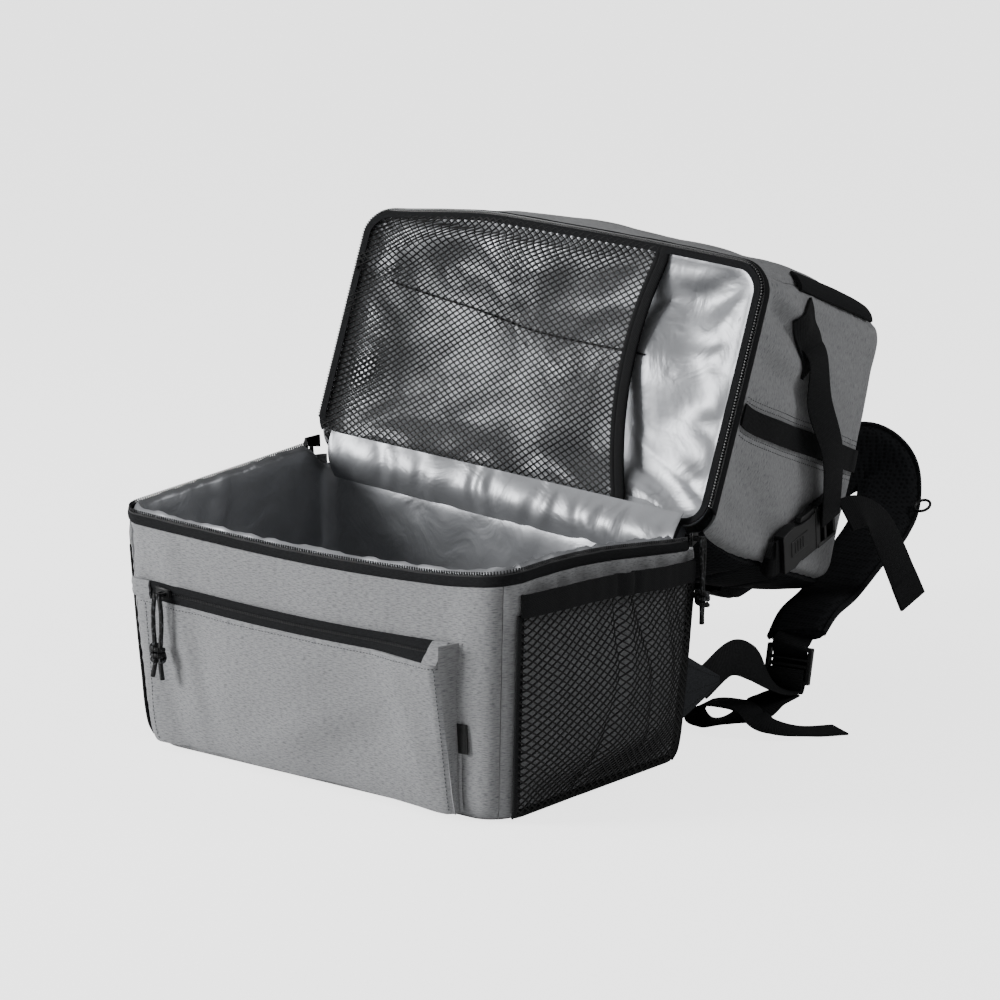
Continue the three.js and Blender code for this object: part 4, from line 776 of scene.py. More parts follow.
def net_tree():
    """Turns the lines of a mesh into knitted thread."""
    tree = bpy.data.node_groups.new("net_thread", "GeometryNodeTree")
    tree.is_modifier = True
    tree.interface.new_socket("Geometry", in_out="INPUT", socket_type="NodeSocketGeometry")
    tree.interface.new_socket("Radius", in_out="INPUT", socket_type="NodeSocketFloat")
    tree.interface.new_socket("Material", in_out="INPUT", socket_type="NodeSocketMaterial")
    tree.interface.new_socket("Geometry", in_out="OUTPUT", socket_type="NodeSocketGeometry")
    given = add_node(tree, "NodeGroupInput").outputs
    line = add_node(tree, "GeometryNodeMeshToCurve", Mesh=given["Geometry"])
    section = add_node(tree, "GeometryNodeCurvePrimitiveCircle", Resolution=4, Radius=given["Radius"])
    tube = add_node(
        tree,
        "GeometryNodeCurveToMesh",
        Curve=line.outputs[0],
        Profile_Curve=section.outputs["Curve"],
        Fill_Caps=True,
    )
    real = add_node(tree, "GeometryNodeRealizeInstances", Geometry=tube.outputs[0])
    done = add_node(tree, "GeometryNodeSetMaterial", Geometry=real.outputs[0], Material=given["Material"])
    add_node(tree, "NodeGroupOutput", Geometry=done.outputs[0])
    return tree


def wire_object(name, lines):
    """A mesh of open lines. Each line is a list of (place, face) in millimetres."""
    points = [tuple(place * MM) for line in lines for place, face in line]
    edges, start = [], 0
    for line in lines:
        edges += [(start + i, start + i + 1) for i in range(len(line) - 1)]
        start += len(line)
    mesh = bpy.data.meshes.new(name)
    mesh.from_pydata(points, edges, [])
    attribute = mesh.attributes.new("face", "FLOAT_VECTOR", "POINT")
    attribute.data.foreach_set("vector", [c for line in lines for place, face in line for c in face])
    obj = bpy.data.objects.new(name, mesh)
    bpy.context.scene.collection.objects.link(obj)
    return obj


def grown(obj, tree, values):
    """Runs a node tree on an object and keeps the result as a plain mesh."""
    modifier = obj.modifiers.new("Repeat", "NODES")
    modifier.node_group = tree
    for item in tree.interface.items_tree:
        if item.in_out == "INPUT" and item.name in values:
            modifier[item.identifier] = values[item.name]
    bpy.context.view_layer.update()
    found = obj.evaluated_get(bpy.context.evaluated_depsgraph_get())
    mesh = bpy.data.meshes.new_from_object(found)
    obj.modifiers.remove(modifier)
    mesh.name = obj.name
    obj.data = mesh
    mesh.shade_smooth()
    mesh.set_sharp_from_angle(angle=math.radians(50))
    return obj


TREES = {}


def repeated(name, lines, shape, spacing, size, material, replaced=()):
    """A piece of many small copies along lines: the teeth of a zip, or stitches."""
    if shape not in TREES:
        TREES[shape] = repeat_tree("repeat_" + shape, shape)
    length, width, height = (side * MM for side in size)
    values = {"Spacing": spacing, "Length": length, "Width": width, "Height": height}
    values["Material"] = MATERIALS[material]
    obj = grown(wire_object(name, lines), TREES[shape], values)
    return finish_piece(obj, material, replaced)


def net_piece(name, surface, width, height, cell, proportion, replaced):
    """A knitted net of diamonds on a surface that is given by shares across and up."""
    if "net" not in TREES:
        TREES["net"] = net_tree()
    half = cell / 2
    columns, rows = round(width / half), round(height / (half * proportion))
    nodes = {}
    for i in range(columns + 1):
        for j in range(rows + 1):
            if (i + j) % 2 == 0:
                nodes[i, j] = surface(i / columns, j / rows)
    lines = []
    for sense in (1, -1):
        for start in [(i, j) for i, j in nodes if j == 0 or i == (0 if sense > 0 else columns)]:
            i, j = start
            line = []
            while (i, j) in nodes:
                line.append((nodes[i, j], (0, 0, 1)))
                i, j = i + sense, j + 1
            if len(line) > 1:
                lines.append(line)
    obj = wire_object(name, lines)
    values = {"Radius": sizes().net_thread / 2, "Material": MATERIALS["net"]}
    obj = finish_piece(grown(obj, TREES["net"], values), "net", replaced)
    obj["flat"] = [width * MM, height * MM]
    declare_sheet(obj)
    return obj


def surface_line(surface, stops, lift):
    """Places and faces along stops (u, v) on a surface, at a height off it or one given by (u, v, point)."""
    found = []
    for u, v in stops:
        face = normal_of(surface, u, v)
        place = surface(u, v)
        found.append((place + face * (lift(u, v, place) if callable(lift) else lift), face))
    return found


# The two sides: mirrored turns run the other way on the left
SIDES = (("right", 1, lambda value: value), ("left", -1, lambda value: 5 - value))
TAPE_START = 1 - (TAPE_SHOWN + TEETH_HEIGHT) / LOWER_HEIGHT
TEETH_START = 1 - TEETH_HEIGHT / LOWER_HEIGHT
BACK_TOP = 1 - (HINGE_RISE + HINGE_INSET + CLOTH) / LOWER_HEIGHT
UPPER_TAPE_END = (TAPE_SHOWN + TEETH_HEIGHT) / UPPER_LENGTH
UPPER_SEAM = (TAPE_HEIGHT + TEETH_HEIGHT) / UPPER_LENGTH
UPPER_TEETH_END = TEETH_HEIGHT / UPPER_LENGTH
ZIP_SPAN = (-0.92, 1.92)
SEAM = GAP / WIDTH
# A stitch's length, width and height
STITCH = (1.8, 0.55, 0.5)


def turns(turn, low, high, pieces):
    low, high = sorted((turn(low), turn(high)))
    return even(low, high, pieces)


def lower_relief(u, v, point):
    """How the lower half's cloth stands off its surface: seams roll in, and the cloth is a little uneven."""
    share, side = u - math.floor(u), math.floor(u) % 4
    length = DEPTH if side % 2 else WIDTH
    height = seam_roll(share, length) + pucker(share, length, v * LOWER_HEIGHT, 0.35)
    height += unevenness(point, 60, 1.5) + unevenness(point, 22, 0.5, 3)
    if side == 0:
        height += creases(FRONT_CREASES, u, v, WIDTH, LOWER_HEIGHT)
    if side % 2:
        band = smoothstep(v, 0.74, 0.86)
        height += band * 1.7 * math.sin(share * 46 + 3 * noise.noise(Vector((share * 6, v * 4, 2))))
    foot = smoothstep(v, 0, 0.06)
    return height * foot * (1 - 0.8 * smoothstep(v, TAPE_START - 0.05, TAPE_START))


def upper_relief(u, v, point):
    share, side = u - math.floor(u), math.floor(u) % 4
    length = UPPER_DEPTH if side % 2 else WIDTH
    height = seam_roll(share, length, 1.6) + pucker(share, length, v * UPPER_LENGTH, 0.4, 13, 12)
    height += unevenness(point, 55, 2.2, 1) + unevenness(point, 20, 0.6, 4)
    if side % 2:
        height += creases(SIDE_CREASES, u if side == 1 else 5 - u, v, UPPER_DEPTH, UPPER_LENGTH)
    else:
        height += creases(TOP_CREASES, u, v, WIDTH, UPPER_LENGTH)
    return height * smoothstep(v, UPPER_TAPE_END, UPPER_TAPE_END + 0.06) - 1.2 * smoothstep(v, 0.965, 1)


def pad_swell(u0, u1, v0, v1, thickness):
    def swell(u, v, point=None):
        edge = min(u - u0, u1 - u, v - v0, v1 - v)
        return GAP + lerp(CLOTH, thickness, smoothstep(edge, 0, 0.15))

    return swell


def make_lower_shell():
    rows = even(0, TAPE_START - GAP / LOWER_HEIGHT, 46)
    inner = lambda u, v, p: lower_relief(u, v, p) - CLOTH
    cloth_piece(
        "lower_front_cloth", lower_surface, even(SEAM, 1 - SEAM, 110), rows, inner, lower_relief,
        "heather", "lower_front_panel",
    )
    for name, sign, turn in SIDES:
        cloth_piece(
            f"lower_side_cloth_{name}", lower_surface, turns(turn, 1 + SEAM, 2 - SEAM, 80), rows, inner,
            lower_relief, "heather", f"lower_side_panel_{name}",
        )
    cloth_piece(
        "lower_back_cloth", lower_surface, even(2 + SEAM, 3 - SEAM, 80), even(0, BACK_TOP, 40), inner,
        lower_relief, "dark_cloth", "lower_back_panel",
    )
    swell = pad_swell(2.12, 2.88, 0.08, 0.72, LOWER_PAD)
    quilt = lambda u, v, p: swell(u, v) - 3 * math.exp(-(((u - 2.5) / 0.012) ** 2)) + unevenness(p, 30, 0.8)
    pad = cloth_piece(
        "lower_back_cushion", lower_surface, even(2.12, 2.88, 60), even(0.08, 0.72, 30), 2 * GAP, quilt,
        "spacer", "lower_back_pad", held=None,
    )
    inset = CLOTH + GAP
    ring = [off_surface(lower_surface, u, 0, -inset) for u in even(0, 4, 96)[:-1]]
    levels = ((0.3, 0), (1, 0), (1, CLOTH), (0.3, CLOTH))
    rings = [[Vector((p.x * s, p.y * s, z)) for p in ring] for s, z in levels]
    finish_piece(ring_piece("lower_base_cloth", rings), "heather", "lower_base")


def lining_top(turn):
    from_back = abs(turn % 4 - 2.5) - 0.5
    high = TEETH_START - 4 * GAP / LOWER_HEIGHT
    return lerp(BACK_TOP, high, smoothstep(from_back, 0, 0.15)) - GAP / LOWER_HEIGHT


def make_cooler_lining():
    """The insulated tub. Its lip is a rolled binding that stands a little above the teeth."""
    stops = even(0, 4, 260)[:-1]
    outer, inner = CLOTH + LINING_GAP, CLOTH + LINING_GAP + INSULATION

    def wrinkle(turn, rise, point):
        drawn = 1.0 * math.sin(turn * 34 + 2.5 * noise.noise(Vector((turn * 5, rise * 2, 4))))
        drawn *= smoothstep(rise, 0.35, 0.95)
        return drawn + unevenness(point, 48, 4, 6) + abs(unevenness(point, 24, 1.6, 8))

    def wall(inset, rise_of, crinkle=0.0, lift=0.0):
        ring = []
        for turn in stops:
            rise = rise_of(turn)
            point = off_surface(lower_surface, turn, rise, -inset)
            shift = crinkle * wrinkle(turn, rise, point)
            heading = normal_of(lower_surface, turn, rise)
            point -= heading * max(0, shift)
            crimp = math.sin(turn * 61 + 2 * math.sin(turn * 17)) + 0.6 * math.sin(turn * 143)
            point.z += lift + crinkle * 0.8 * crimp * (lift > 0)
            ring.append(point)
        return ring

    fixed = lambda rise: lambda turn: min(rise, lining_top(turn))
    rings = [wall(outer + CLOTH, fixed(0.02), lift=1), wall(outer, fixed(0.08))]
    rings += [wall(outer, fixed(0.5)), wall(outer, lining_top)]
    rings += [wall(outer + 0.8, lining_top, 0.5, 2.8), wall(outer + 2.6, lining_top, 0.8, 4.4)]
    rings += [wall(inner - 1.2, lining_top, 0.5, 2.4), wall(inner, lining_top, 0.6)]
    for down in even(0.05, 0.8, 22):
        rings.append(wall(inner, lambda turn, down=down: max(0.12, lining_top(turn) - down), 1))
    floor = [Vector((p.x, p.y, CLOTH + FLOOR_PAD)) for p in rings[-1]]
    middle = Vector((0, 0, CLOTH + FLOOR_PAD))
    for share in (0.03, 0.08, 0.16, 0.28, 0.42, 0.58, 0.74, 0.88, 0.97):
        ring = [p.lerp(middle, share) for p in floor]
        rings.append([p + Vector((0, 0, unevenness(p, 45, 2.4, 9))) for p in ring])
    finish_piece(ring_piece("cooler_tub_lining", rings, 60), "foil", "cooler_lining")


def zip_teeth(name, surface, stops, lift, replaced, size=(0.8, 2.4, 0.9), pitch=None):
    """The coil's teeth as small bars along a line."""
    lines = [surface_line(surface, stops, lift)]
    pitch = pitch or sizes().tooth_pitch
    return repeated(name, lines, "bar", pitch, size, "coil", replaced)


def make_main_zips():
    span = even(*ZIP_SPAN, 300)
    crown = lambda v, low, high: 0.9 * math.sin(math.pi * clamp((v - low) / (high - low), 0, 1)) ** 0.5
    lower = lambda u, v, p: crown(v, TAPE_START, TEETH_START) + unevenness(p, 18, 0.25)
    rows = even(TAPE_START, TEETH_START, 6)
    cloth_piece(
        "lower_zip_ribbon", lower_surface, span, rows, -TAPE_THICKNESS, lower,
        "tape", "lower_zip_tape",
    )
    upper = lambda u, v, p: crown(v, UPPER_TEETH_END, UPPER_TAPE_END) + unevenness(p, 18, 0.25)
    rows = even(UPPER_TEETH_END, UPPER_TAPE_END, 6)
    cloth_piece(
        "upper_zip_ribbon", upper_surface, span, rows, -TAPE_THICKNESS, upper,
        "tape", "upper_zip_tape",
    )
    seat = -TAPE_THICKNESS / 2
    middle = 1 - TEETH_HEIGHT / LOWER_HEIGHT / 2
    zip_teeth("lower_zip_coil", lower_surface, [(u, middle) for u in span], seat, "lower_zip_teeth")
    upper_middle = UPPER_TEETH_END / 2
    zip_teeth("upper_zip_coil", upper_surface, [(u, upper_middle) for u in span], seat, "upper_zip_teeth")
    for name, surface, rise in (
        ("lower_zip_core", lower_surface, TEETH_START - 0.3 / LOWER_HEIGHT),
        ("upper_zip_core", upper_surface, UPPER_TEETH_END + 0.3 / UPPER_LENGTH),
    ):
        line = surface_line(surface, [(u, rise) for u in span], seat)
        obj, _ = ribbon_piece(name, line, (1.4, 1.4), 2.0, 300)
        finish_piece(obj, "coil")


# Front pocket, by millimetres from its left edge and shares of the lower half's height
POCKET_LOW, POCKET_HIGH = POCKET_FOOT / LOWER_HEIGHT, POCKET_TOP / LOWER_HEIGHT
POCKET_ZIP_TOP = (POCKET_TOP + POCKET_ZIP_WIDTH) / LOWER_HEIGHT


def pocket_surface(run, v):
    up = clamp((v - POCKET_LOW) / (POCKET_HIGH - POCKET_LOW), 0, 1)
    spread = lerp(POCKET_FOOT_WIDTH, POCKET_WIDTH, up) / POCKET_WIDTH
    return lower_surface((POCKET_LEFT_MARGIN + run * spread) / WIDTH, v)


def pocket_puff(run, v):
    across = clamp(run / POCKET_WIDTH, 0, 1)
    up = clamp((v - POCKET_LOW) / (POCKET_HIGH - POCKET_LOW), 0, 1)
    fold = POCKET_FOLD_DEPTH * smoothstep(across, 0.75, 1) * (0.3 + 0.7 * up)
    return fold + POCKET_PUFF * math.sin(math.pi * across) * math.sin(math.pi * up)


def pocket_cloth_lift(run, v, point):
    across = clamp(run / POCKET_WIDTH, 0, 1)
    up = clamp((v - POCKET_LOW) / (POCKET_HIGH - POCKET_LOW), 0, 1)
    height = 2 * GAP + 1.2 + pocket_puff(run, v) + POCKET_CLOTH
    height += creases(POCKET_CREASES, across, up, POCKET_WIDTH, POCKET_TOP) + unevenness(point, 45, 1.2, 2)
    roll = 1 - math.exp(-((min(across, 1 - across) * POCKET_WIDTH / 3) ** 2))
    return max(0.8, height * lerp(0.75, 1, roll))


def make_front_pocket():
    inner = lambda run, v, p: pocket_cloth_lift(run, v, p) - POCKET_CLOTH
    cloth_piece(
        "front_pocket_cloth", pocket_surface, even(0, POCKET_WIDTH, 110), even(POCKET_LOW, POCKET_HIGH, 44),
        inner, pocket_cloth_lift, "heather", "front_pocket",
    )
    rows = even(POCKET_LOW, POCKET_ZIP_TOP, 30)
    hem = POCKET_WIDTH + GAP

    def gusset(t, v):
        """The open fold: from the pocket's edge back to the front panel, and out in a narrow hem."""
        depth = pocket_puff(POCKET_WIDTH, v) + 2
        reach = 7 * clamp((v - POCKET_LOW) / (POCKET_ZIP_TOP - POCKET_LOW), 0.12, 1)
        run = hem + reach * min(t, 1) + 3 * max(0, t - 1)
        lift = lerp(depth, 1.0, smoothstep(t, 0, 1)) + 0.8 * math.sin(math.pi * clamp(t - 1, 0, 1))
        return off_surface(pocket_surface, run, v, lift)

    cloth_piece(
        "pocket_gusset_cloth", gusset, even(0, 2, 18), rows, -0.9, 0.3, "heather",
        "pocket_side_fold", held="folded",
    )
    slope = lambda v: 1 - clamp((v - POCKET_HIGH) / (POCKET_ZIP_TOP - POCKET_HIGH), 0, 1)
    groove = lambda v: -0.8 * math.exp(-(((slope(v) - 0.5) / 0.12) ** 2))
    seat = 2 * GAP + 1 + TAPE_THICKNESS
    lift = lambda run, v, p=None: seat + pocket_puff(run, POCKET_HIGH) * slope(v) + groove(v)
    start = POCKET_WIDTH - END_TAB_LENGTH
    zip_rows = even(POCKET_HIGH, POCKET_ZIP_TOP, 12)
    cloth_piece(
        "pocket_zip_ribbon", pocket_surface, even(LEFT_TAB_LENGTH - 8, start, 90), zip_rows,
        lambda *at: lift(*at) - TAPE_THICKNESS, lift, "tape", "pocket_zip_tape",
    )
    middle = (POCKET_HIGH + POCKET_ZIP_TOP) / 2
    stops = [(run, middle) for run in even(POCKET_SLIDER_RUN, start, 90)]
    zip_teeth(
        "pocket_zip_coil", pocket_surface, stops, lambda u, v, p: lift(u, v) + 0.3, (), (0.8, 1.6, 0.8),
        1.5 * MM,
    )
    raised = lambda run, v, p: lift(run, v) + POCKET_CLOTH * (0.6 + 0.6 * math.sin(math.pi * slope(v)))
    for name, low, high in (("right", start, POCKET_WIDTH), ("left", -4, LEFT_TAB_LENGTH - 4)):
        cloth_piece(
            f"pocket_end_tab_{name}", pocket_surface, even(low, high, 12), zip_rows,
            lambda *at: raised(*at) - POCKET_CLOTH, raised, "heather",
            "pocket_zip_end_tab" if name == "right" else (), held="folded",
        )
    edge = hem + 2 * POCKET_CLOTH + GAP
    label = lambda run, v, p: 1.6 + LABEL_THICKNESS + 0.5 * math.sin((run - edge) / LABEL_WIDTH * math.pi)
    cloth_piece(
        "side_label_tab", pocket_surface, even(edge, edge + LABEL_WIDTH, 8),
        even(LABEL_RISE / LOWER_HEIGHT, (LABEL_RISE + LABEL_HEIGHT) / LOWER_HEIGHT, 10),
        lambda *at: label(*at) - LABEL_THICKNESS, label, "label", "side_label", held=None,
    )
    stitches = [
        [(run, POCKET_HIGH - 3.2 / LOWER_HEIGHT) for run in even(2, POCKET_WIDTH - 2, 110)],
        [(POCKET_WIDTH - 3.4, v) for v in even(POCKET_LOW + 0.02, POCKET_HIGH - 0.03, 50)],
        [(6, v) for v in even(POCKET_LOW + 0.02, POCKET_HIGH - 0.03, 50)],
    ]
    proud = lambda u, v, p: pocket_cloth_lift(u, v, p) + 0.1
    lines = [surface_line(pocket_surface, row, proud) for row in stitches]
    repeated("pocket_stitches", lines, "grain", sizes().stitch_pitch, STITCH, "thread")


def net_surface(turn):
    u0, u1 = sorted((turn(1 + NET_MARGIN / DEPTH), turn(2 - NET_MARGIN / DEPTH)))

    def place(across, up):
        hang = math.sin(math.pi * clamp(across, 0, 1)) ** 0.6
        belly = lerp(NET_BULGE * smoothstep(up, 0, 0.3), NET_MOUTH, smoothstep(up, 0.55, 1))
        gather = creases(NET_CREASES, across if turn(1) == 1 else 1 - across, up, 190, 127)
        rise = lerp(NET_FOOT, NET_TOP, up) / LOWER_HEIGHT
        lift = max(2, 7 * GAP + (belly + 0.6 * gather) * hang)
        return off_surface(lower_surface, lerp(u0, u1, across), rise, lift)

    return place


def make_side_nets():
    for name, sign, turn in SIDES:
        net = net_surface(turn)
        net_piece(f"side_net_{name}", net, 190, 127, sizes().side_cell / MM, 0.64, f"net_pocket_{name}")
        ripple = lambda a: 0.3 * math.sin(a * 75) * math.sin(math.pi * a)
        band = lambda a, up: net(a, 1) + Vector((0, 0, GAP + up * NET_BINDING_HEIGHT))
        outer = lambda a, up, p: NET_BINDING_THICKNESS + ripple(a) + 0.4 * math.sin(math.pi * up)
        cloth_piece(
            f"net_elastic_{name}", band, even(0, 1, 90), even(-0.12, 1, 8), lambda *at: outer(*at) - 1.8,
            outer, "elastic", f"net_binding_{name}", held="gathered",
        )
        out = normal_of(lower_surface, turn(1.5), 0.5)
        for near, end in ((0, "front"), (1, "back")):
            side = [net(near, v) for v in even(0, 1, 24)]
            obj, _ = ribbon_piece(f"net_edge_{end}_{name}", [(p, out) for p in side], (6, 6), 1.4, 60)
            finish_piece(obj, "elastic")
        foot = [(net(a, 0) + Vector((0, 0, 1.5)), out) for a in even(0, 1, 30)]
        obj, _ = ribbon_piece(f"net_edge_foot_{name}", foot, (5, 5), 1.4, 60)
        finish_piece(obj, "elastic")


def upper_pad_swell(turn, rise):
    swell = pad_swell(2, 3, UPPER_SEAM, 1, UPPER_PAD)(turn, rise)
    return swell * smoothstep(rise, UPPER_SEAM, 0.3) * (1 - 0.5 * smoothstep(rise, 0.4, 1))


def dome_ring(share, lift, stops):
    """A ring of the domed top: share 0 is its sewn edge and 1 its middle."""
    back = read_table(UPPER_BACKS, 1)
    middle = Vector((0, UPPER_DEPTH * (back - 0.5), UPPER_LENGTH + lift))
    crown = TOP_CROWN * (1 - (1 - share) ** 2)
    ring = []
    for turn in stops:
        edge = closed_upper(turn, 1)
        rim = edge.z - UPPER_LENGTH
        flat = Vector((edge.x - middle.x, edge.y - middle.y, 0)) * (1 - share)
        point = middle + flat
        soft = unevenness(point, 60, 2.4 * min(1, 6 * share))
        point.z = middle.z + lerp(rim, crown + BACK_FLARE / 2, share) + soft
        ring.append(UPPER @ point)
    return ring


def make_upper_shell():
    rows = even(UPPER_TAPE_END + GAP / UPPER_LENGTH, 1, 52)
    inner = lambda u, v, p: upper_relief(u, v, p) - CLOTH
    cloth_piece(
        "upper_front_cloth", upper_surface, even(SEAM, 1 - SEAM, 110), rows, inner, upper_relief,
        "heather", "upper_front_panel",
    )
    for name, sign, turn in SIDES:
        cloth_piece(
            f"upper_side_cloth_{name}", upper_surface, turns(turn, 1 + SEAM, 2 - SEAM, 96), rows, inner,
            upper_relief, "heather", f"upper_side_panel_{name}",
        )

    def cushion(u, v, p):
        channel = sum(math.exp(-(((v - at) / 0.012) ** 2)) for at in (0.36, 0.62))
        channel *= smoothstep(abs(u - 2.5), 0.5, 0.42)
        return upper_pad_swell(u, v) + unevenness(p, 28, 0.9) - 3.5 * channel * smoothstep(v, 0.15, 0.3)

    pad = cloth_piece(
        "upper_back_cushion", upper_surface, even(2 + SEAM, 3 - SEAM, 100), rows, -CLOTH, cushion,
        "spacer", "upper_back_pad", held=None,
    )
    stops = even(0, 4, 180)[:-1]
    domes = (0.97, 0.85, 0.7, 0.55, 0.4, 0.28, 0.18, 0.1, 0.05, 0.02, 0)
    rings = [dome_ring(share, GAP, stops) for share in domes]
    rings += [dome_ring(share, GAP + CLOTH, stops) for share in domes[::-1]]
    finish_piece(ring_piece("upper_top_cloth", rings), "heather", "upper_top_panel")


def make_lid_lining():
    """The silver panel inside the upper half: a shallow dish drawn in from the zip, with soft gathers."""
    stops = even(0, 4, 280)[:-1]
    outer, inner = CLOTH + LINING_GAP, CLOTH + LINING_GAP + LID_PANEL_THICKNESS
    mouth = UPPER_TEETH_END + 2 * GAP / UPPER_LENGTH
    middle = Vector((0, -UPPER_DEPTH / 2, LID_RECESS))

    def ring(share, inset, back=0.0):
        found = []
        for turn in stops:
            edge = off_surface(closed_upper, turn, mouth, -inset)
            point = edge.lerp(middle, share)
            away = (edge - point).length
            deep = LID_SINK * smoothstep(away, -4, 60)
            gathers = math.sin(turn * 26 + 3 * noise.noise(Vector((turn * 4, 1, 5))))
            gathers *= math.exp(-((away - 16) / 16) ** 2)
            soft = unevenness(point, 62, 8, 11) + abs(unevenness(point, 34, 3, 12))
            calm = smoothstep(away, 0, 12)
            point.z = edge.z + (deep - edge.z * share) + calm * (1.6 * gathers - soft) + back
            point.z = clamp(point.z, edge.z + 3 * calm, LID_RECESS + 6 + back)
            found.append(UPPER @ point)
        return found

    shares = (0, 0.015, 0.035, 0.06, 0.09, 0.13, 0.17, 0.22, 0.28)
    shares += (0.35, 0.43, 0.52, 0.62, 0.72, 0.82, 0.92, 0.98)
    shown = [ring(share, inner) for share in shares]
    hidden = [ring(share, outer, LID_PANEL_THICKNESS * min(1, 20 * share)) for share in (0.6, 0.3, 0.1, 0)]
    finish_piece(ring_piece("lid_foil_lining", hidden + shown, 60), "foil", "lid_lining")


LID_SEAM = ((-150, -126), (-125, -122), (-53, -115), (-8, -109), (71, -108), (84, -108))


def lid_edge(y, inset):
    radius = CORNER_RADIUS - inset
    past = max(0, abs(y + UPPER_DEPTH / 2) - (UPPER_DEPTH / 2 - CORNER_RADIUS))
    half_x = WIDTH / 2 * read_table(UPPER_WIDTHS, 0)
    return half_x - inset - radius + math.sqrt(max(0, radius * radius - past * past))


def lid_net_plane(across, up):
    """The lid's net in the closed bag's frame: sewn in beside the zip, slack, and folded a little."""
    inset = CLOTH + GAP
    corner = 1 - smoothstep(across * LID_NET_WIDTH / WIDTH, 0, 0.35)
    low, high = -inset - GAP, -UPPER_DEPTH + inset + CORNER_DROOP * corner - CLOTH * (1 - corner)
    y = lerp(low, high, up)
    left = -lid_edge(y - CORNER_DROOP * smoothstep(-y / UPPER_DEPTH, 0.65, 0.92), inset + GAP)
    right = LID_NET_WIDTH - WIDTH / 2 + LID_NET_CURVE * (2 * up - 1.2) ** 2
    x = lerp(left, right, across)
    inside = smoothstep(min(low - y, y - high, x - left), 0, 12)
    sag = math.sin(math.pi * clamp(across, 0, 1)) * math.sin(math.pi * clamp(up, 0, 1))
    calm = min(1, 8 * min(up, 1 - up), 8 * (1 - across))
    fold = creases(LID_NET_CREASES, across, up, LID_NET_WIDTH, 170) * calm
    deep = lerp(0.8, LID_NET_RISE, inside) + CLOTH * sag - 0.5 * fold
    return Vector((x, y, min(LID_NET_RISE + CLOTH, deep)))


def lid_hem(turn, inward):
    """The black tape inside the zip, which holds the edges of the net and of the silver panel."""
    inset = TAPE_THICKNESS + GAP + 5 * inward
    return UPPER @ off_surface(closed_upper, turn, GAP / UPPER_LENGTH, -inset)


def make_lid_net():
    place = lambda across, up: UPPER @ lid_net_plane(across, up)
    net_piece("lid_net_mesh", place, LID_NET_WIDTH, 175, sizes().lid_cell / MM, 0.72, "lid_net")

    def bound(across, up):
        edge = lid_net_plane(1, up)
        return UPPER @ Vector((edge.x - 1.5 + across * (LID_BINDING_WIDTH + 2.5), edge.y, edge.z))

    crown = lambda u, v, p: 0.9 * math.sin(math.pi * u) ** 0.5 - 0.6 * math.exp(-(((u - 0.35) / 0.06) ** 2))
    cloth_piece(
        "lid_net_edge", bound, even(0, 1, 14), even(-0.01, 1, 70), lambda *at: crown(*at) - CLOTH, crown,
        "elastic", "lid_net_binding",
    )
    cloth_piece(
        "lid_zip_hem", lid_hem, even(-0.99, 2.99, 320), even(0, 1, 4), -0.5, 0.5, "tape",
        held="folded",
    )
    # a seam of the silver panel runs behind the net
    looks = UPPER.to_3x3() @ Vector((0, 0, -1))
    seam = [(UPPER @ Vector((x, y, LID_SINK / 2 + CLOTH)), looks) for x, y in LID_SEAM]
    obj, _ = ribbon_piece("lid_lining_seam", seam, (1.4, 1.4), 1.6, 60)
    finish_piece(obj, "elastic")


def on_upper(rows, surface=upper_surface):
    return [(off_surface(surface, u, v, lift), normal_of(surface, u, v)) for u, v, lift in rows]


def make_upper_trim():
    half, band = TOP_ZIP_WIDTH / 2 / UPPER_DEPTH, SIDE_BAND_WIDTH / 2 / UPPER_DEPTH
    for name, sign, turn in SIDES:
        arch = lambda u: math.sin(abs(u - turn(1) + half) / (2 * half) * math.pi)
        cover = lambda u, v, p: 1 + TOP_ZIP_THICKNESS * (0.55 + 0.45 * arch(u))
        cloth_piece(
            f"top_zip_cover_{name}", upper_surface, turns(turn, 1 - half, 1 + half, 12), even(0.26, 0.86, 60),
            2 * GAP, cover, "tape", f"top_zip_{name}",
        )
        lift = lambda u, v, p: max(0.4, upper_relief(u, v, p)) + SIDE_BAND_THICKNESS + 0.5
        cloth_piece(
            f"side_band_web_{name}", upper_surface, turns(turn, 1.53 - band, 1.53 + band, 10),
            even(UPPER_TAPE_END + 0.002, 0.985, 70), lambda *at: lift(*at) - SIDE_BAND_THICKNESS, lift,
            "webbing", f"side_band_{name}",
        )
        lines = []
        for off in (-1.75, -1.35, 1.35, 1.75):
            u = turn(1.53 + off * band)
            stops = [(u, v) for v in even(UPPER_TAPE_END + 0.02, 0.97, 60)]
            lines.append(surface_line(upper_surface, stops, lambda *at: upper_relief(*at) + 0.15))
        pitch = sizes().stitch_pitch
        repeated(f"band_stitches_{name}", lines, "grain", pitch, STITCH, "thread_black")


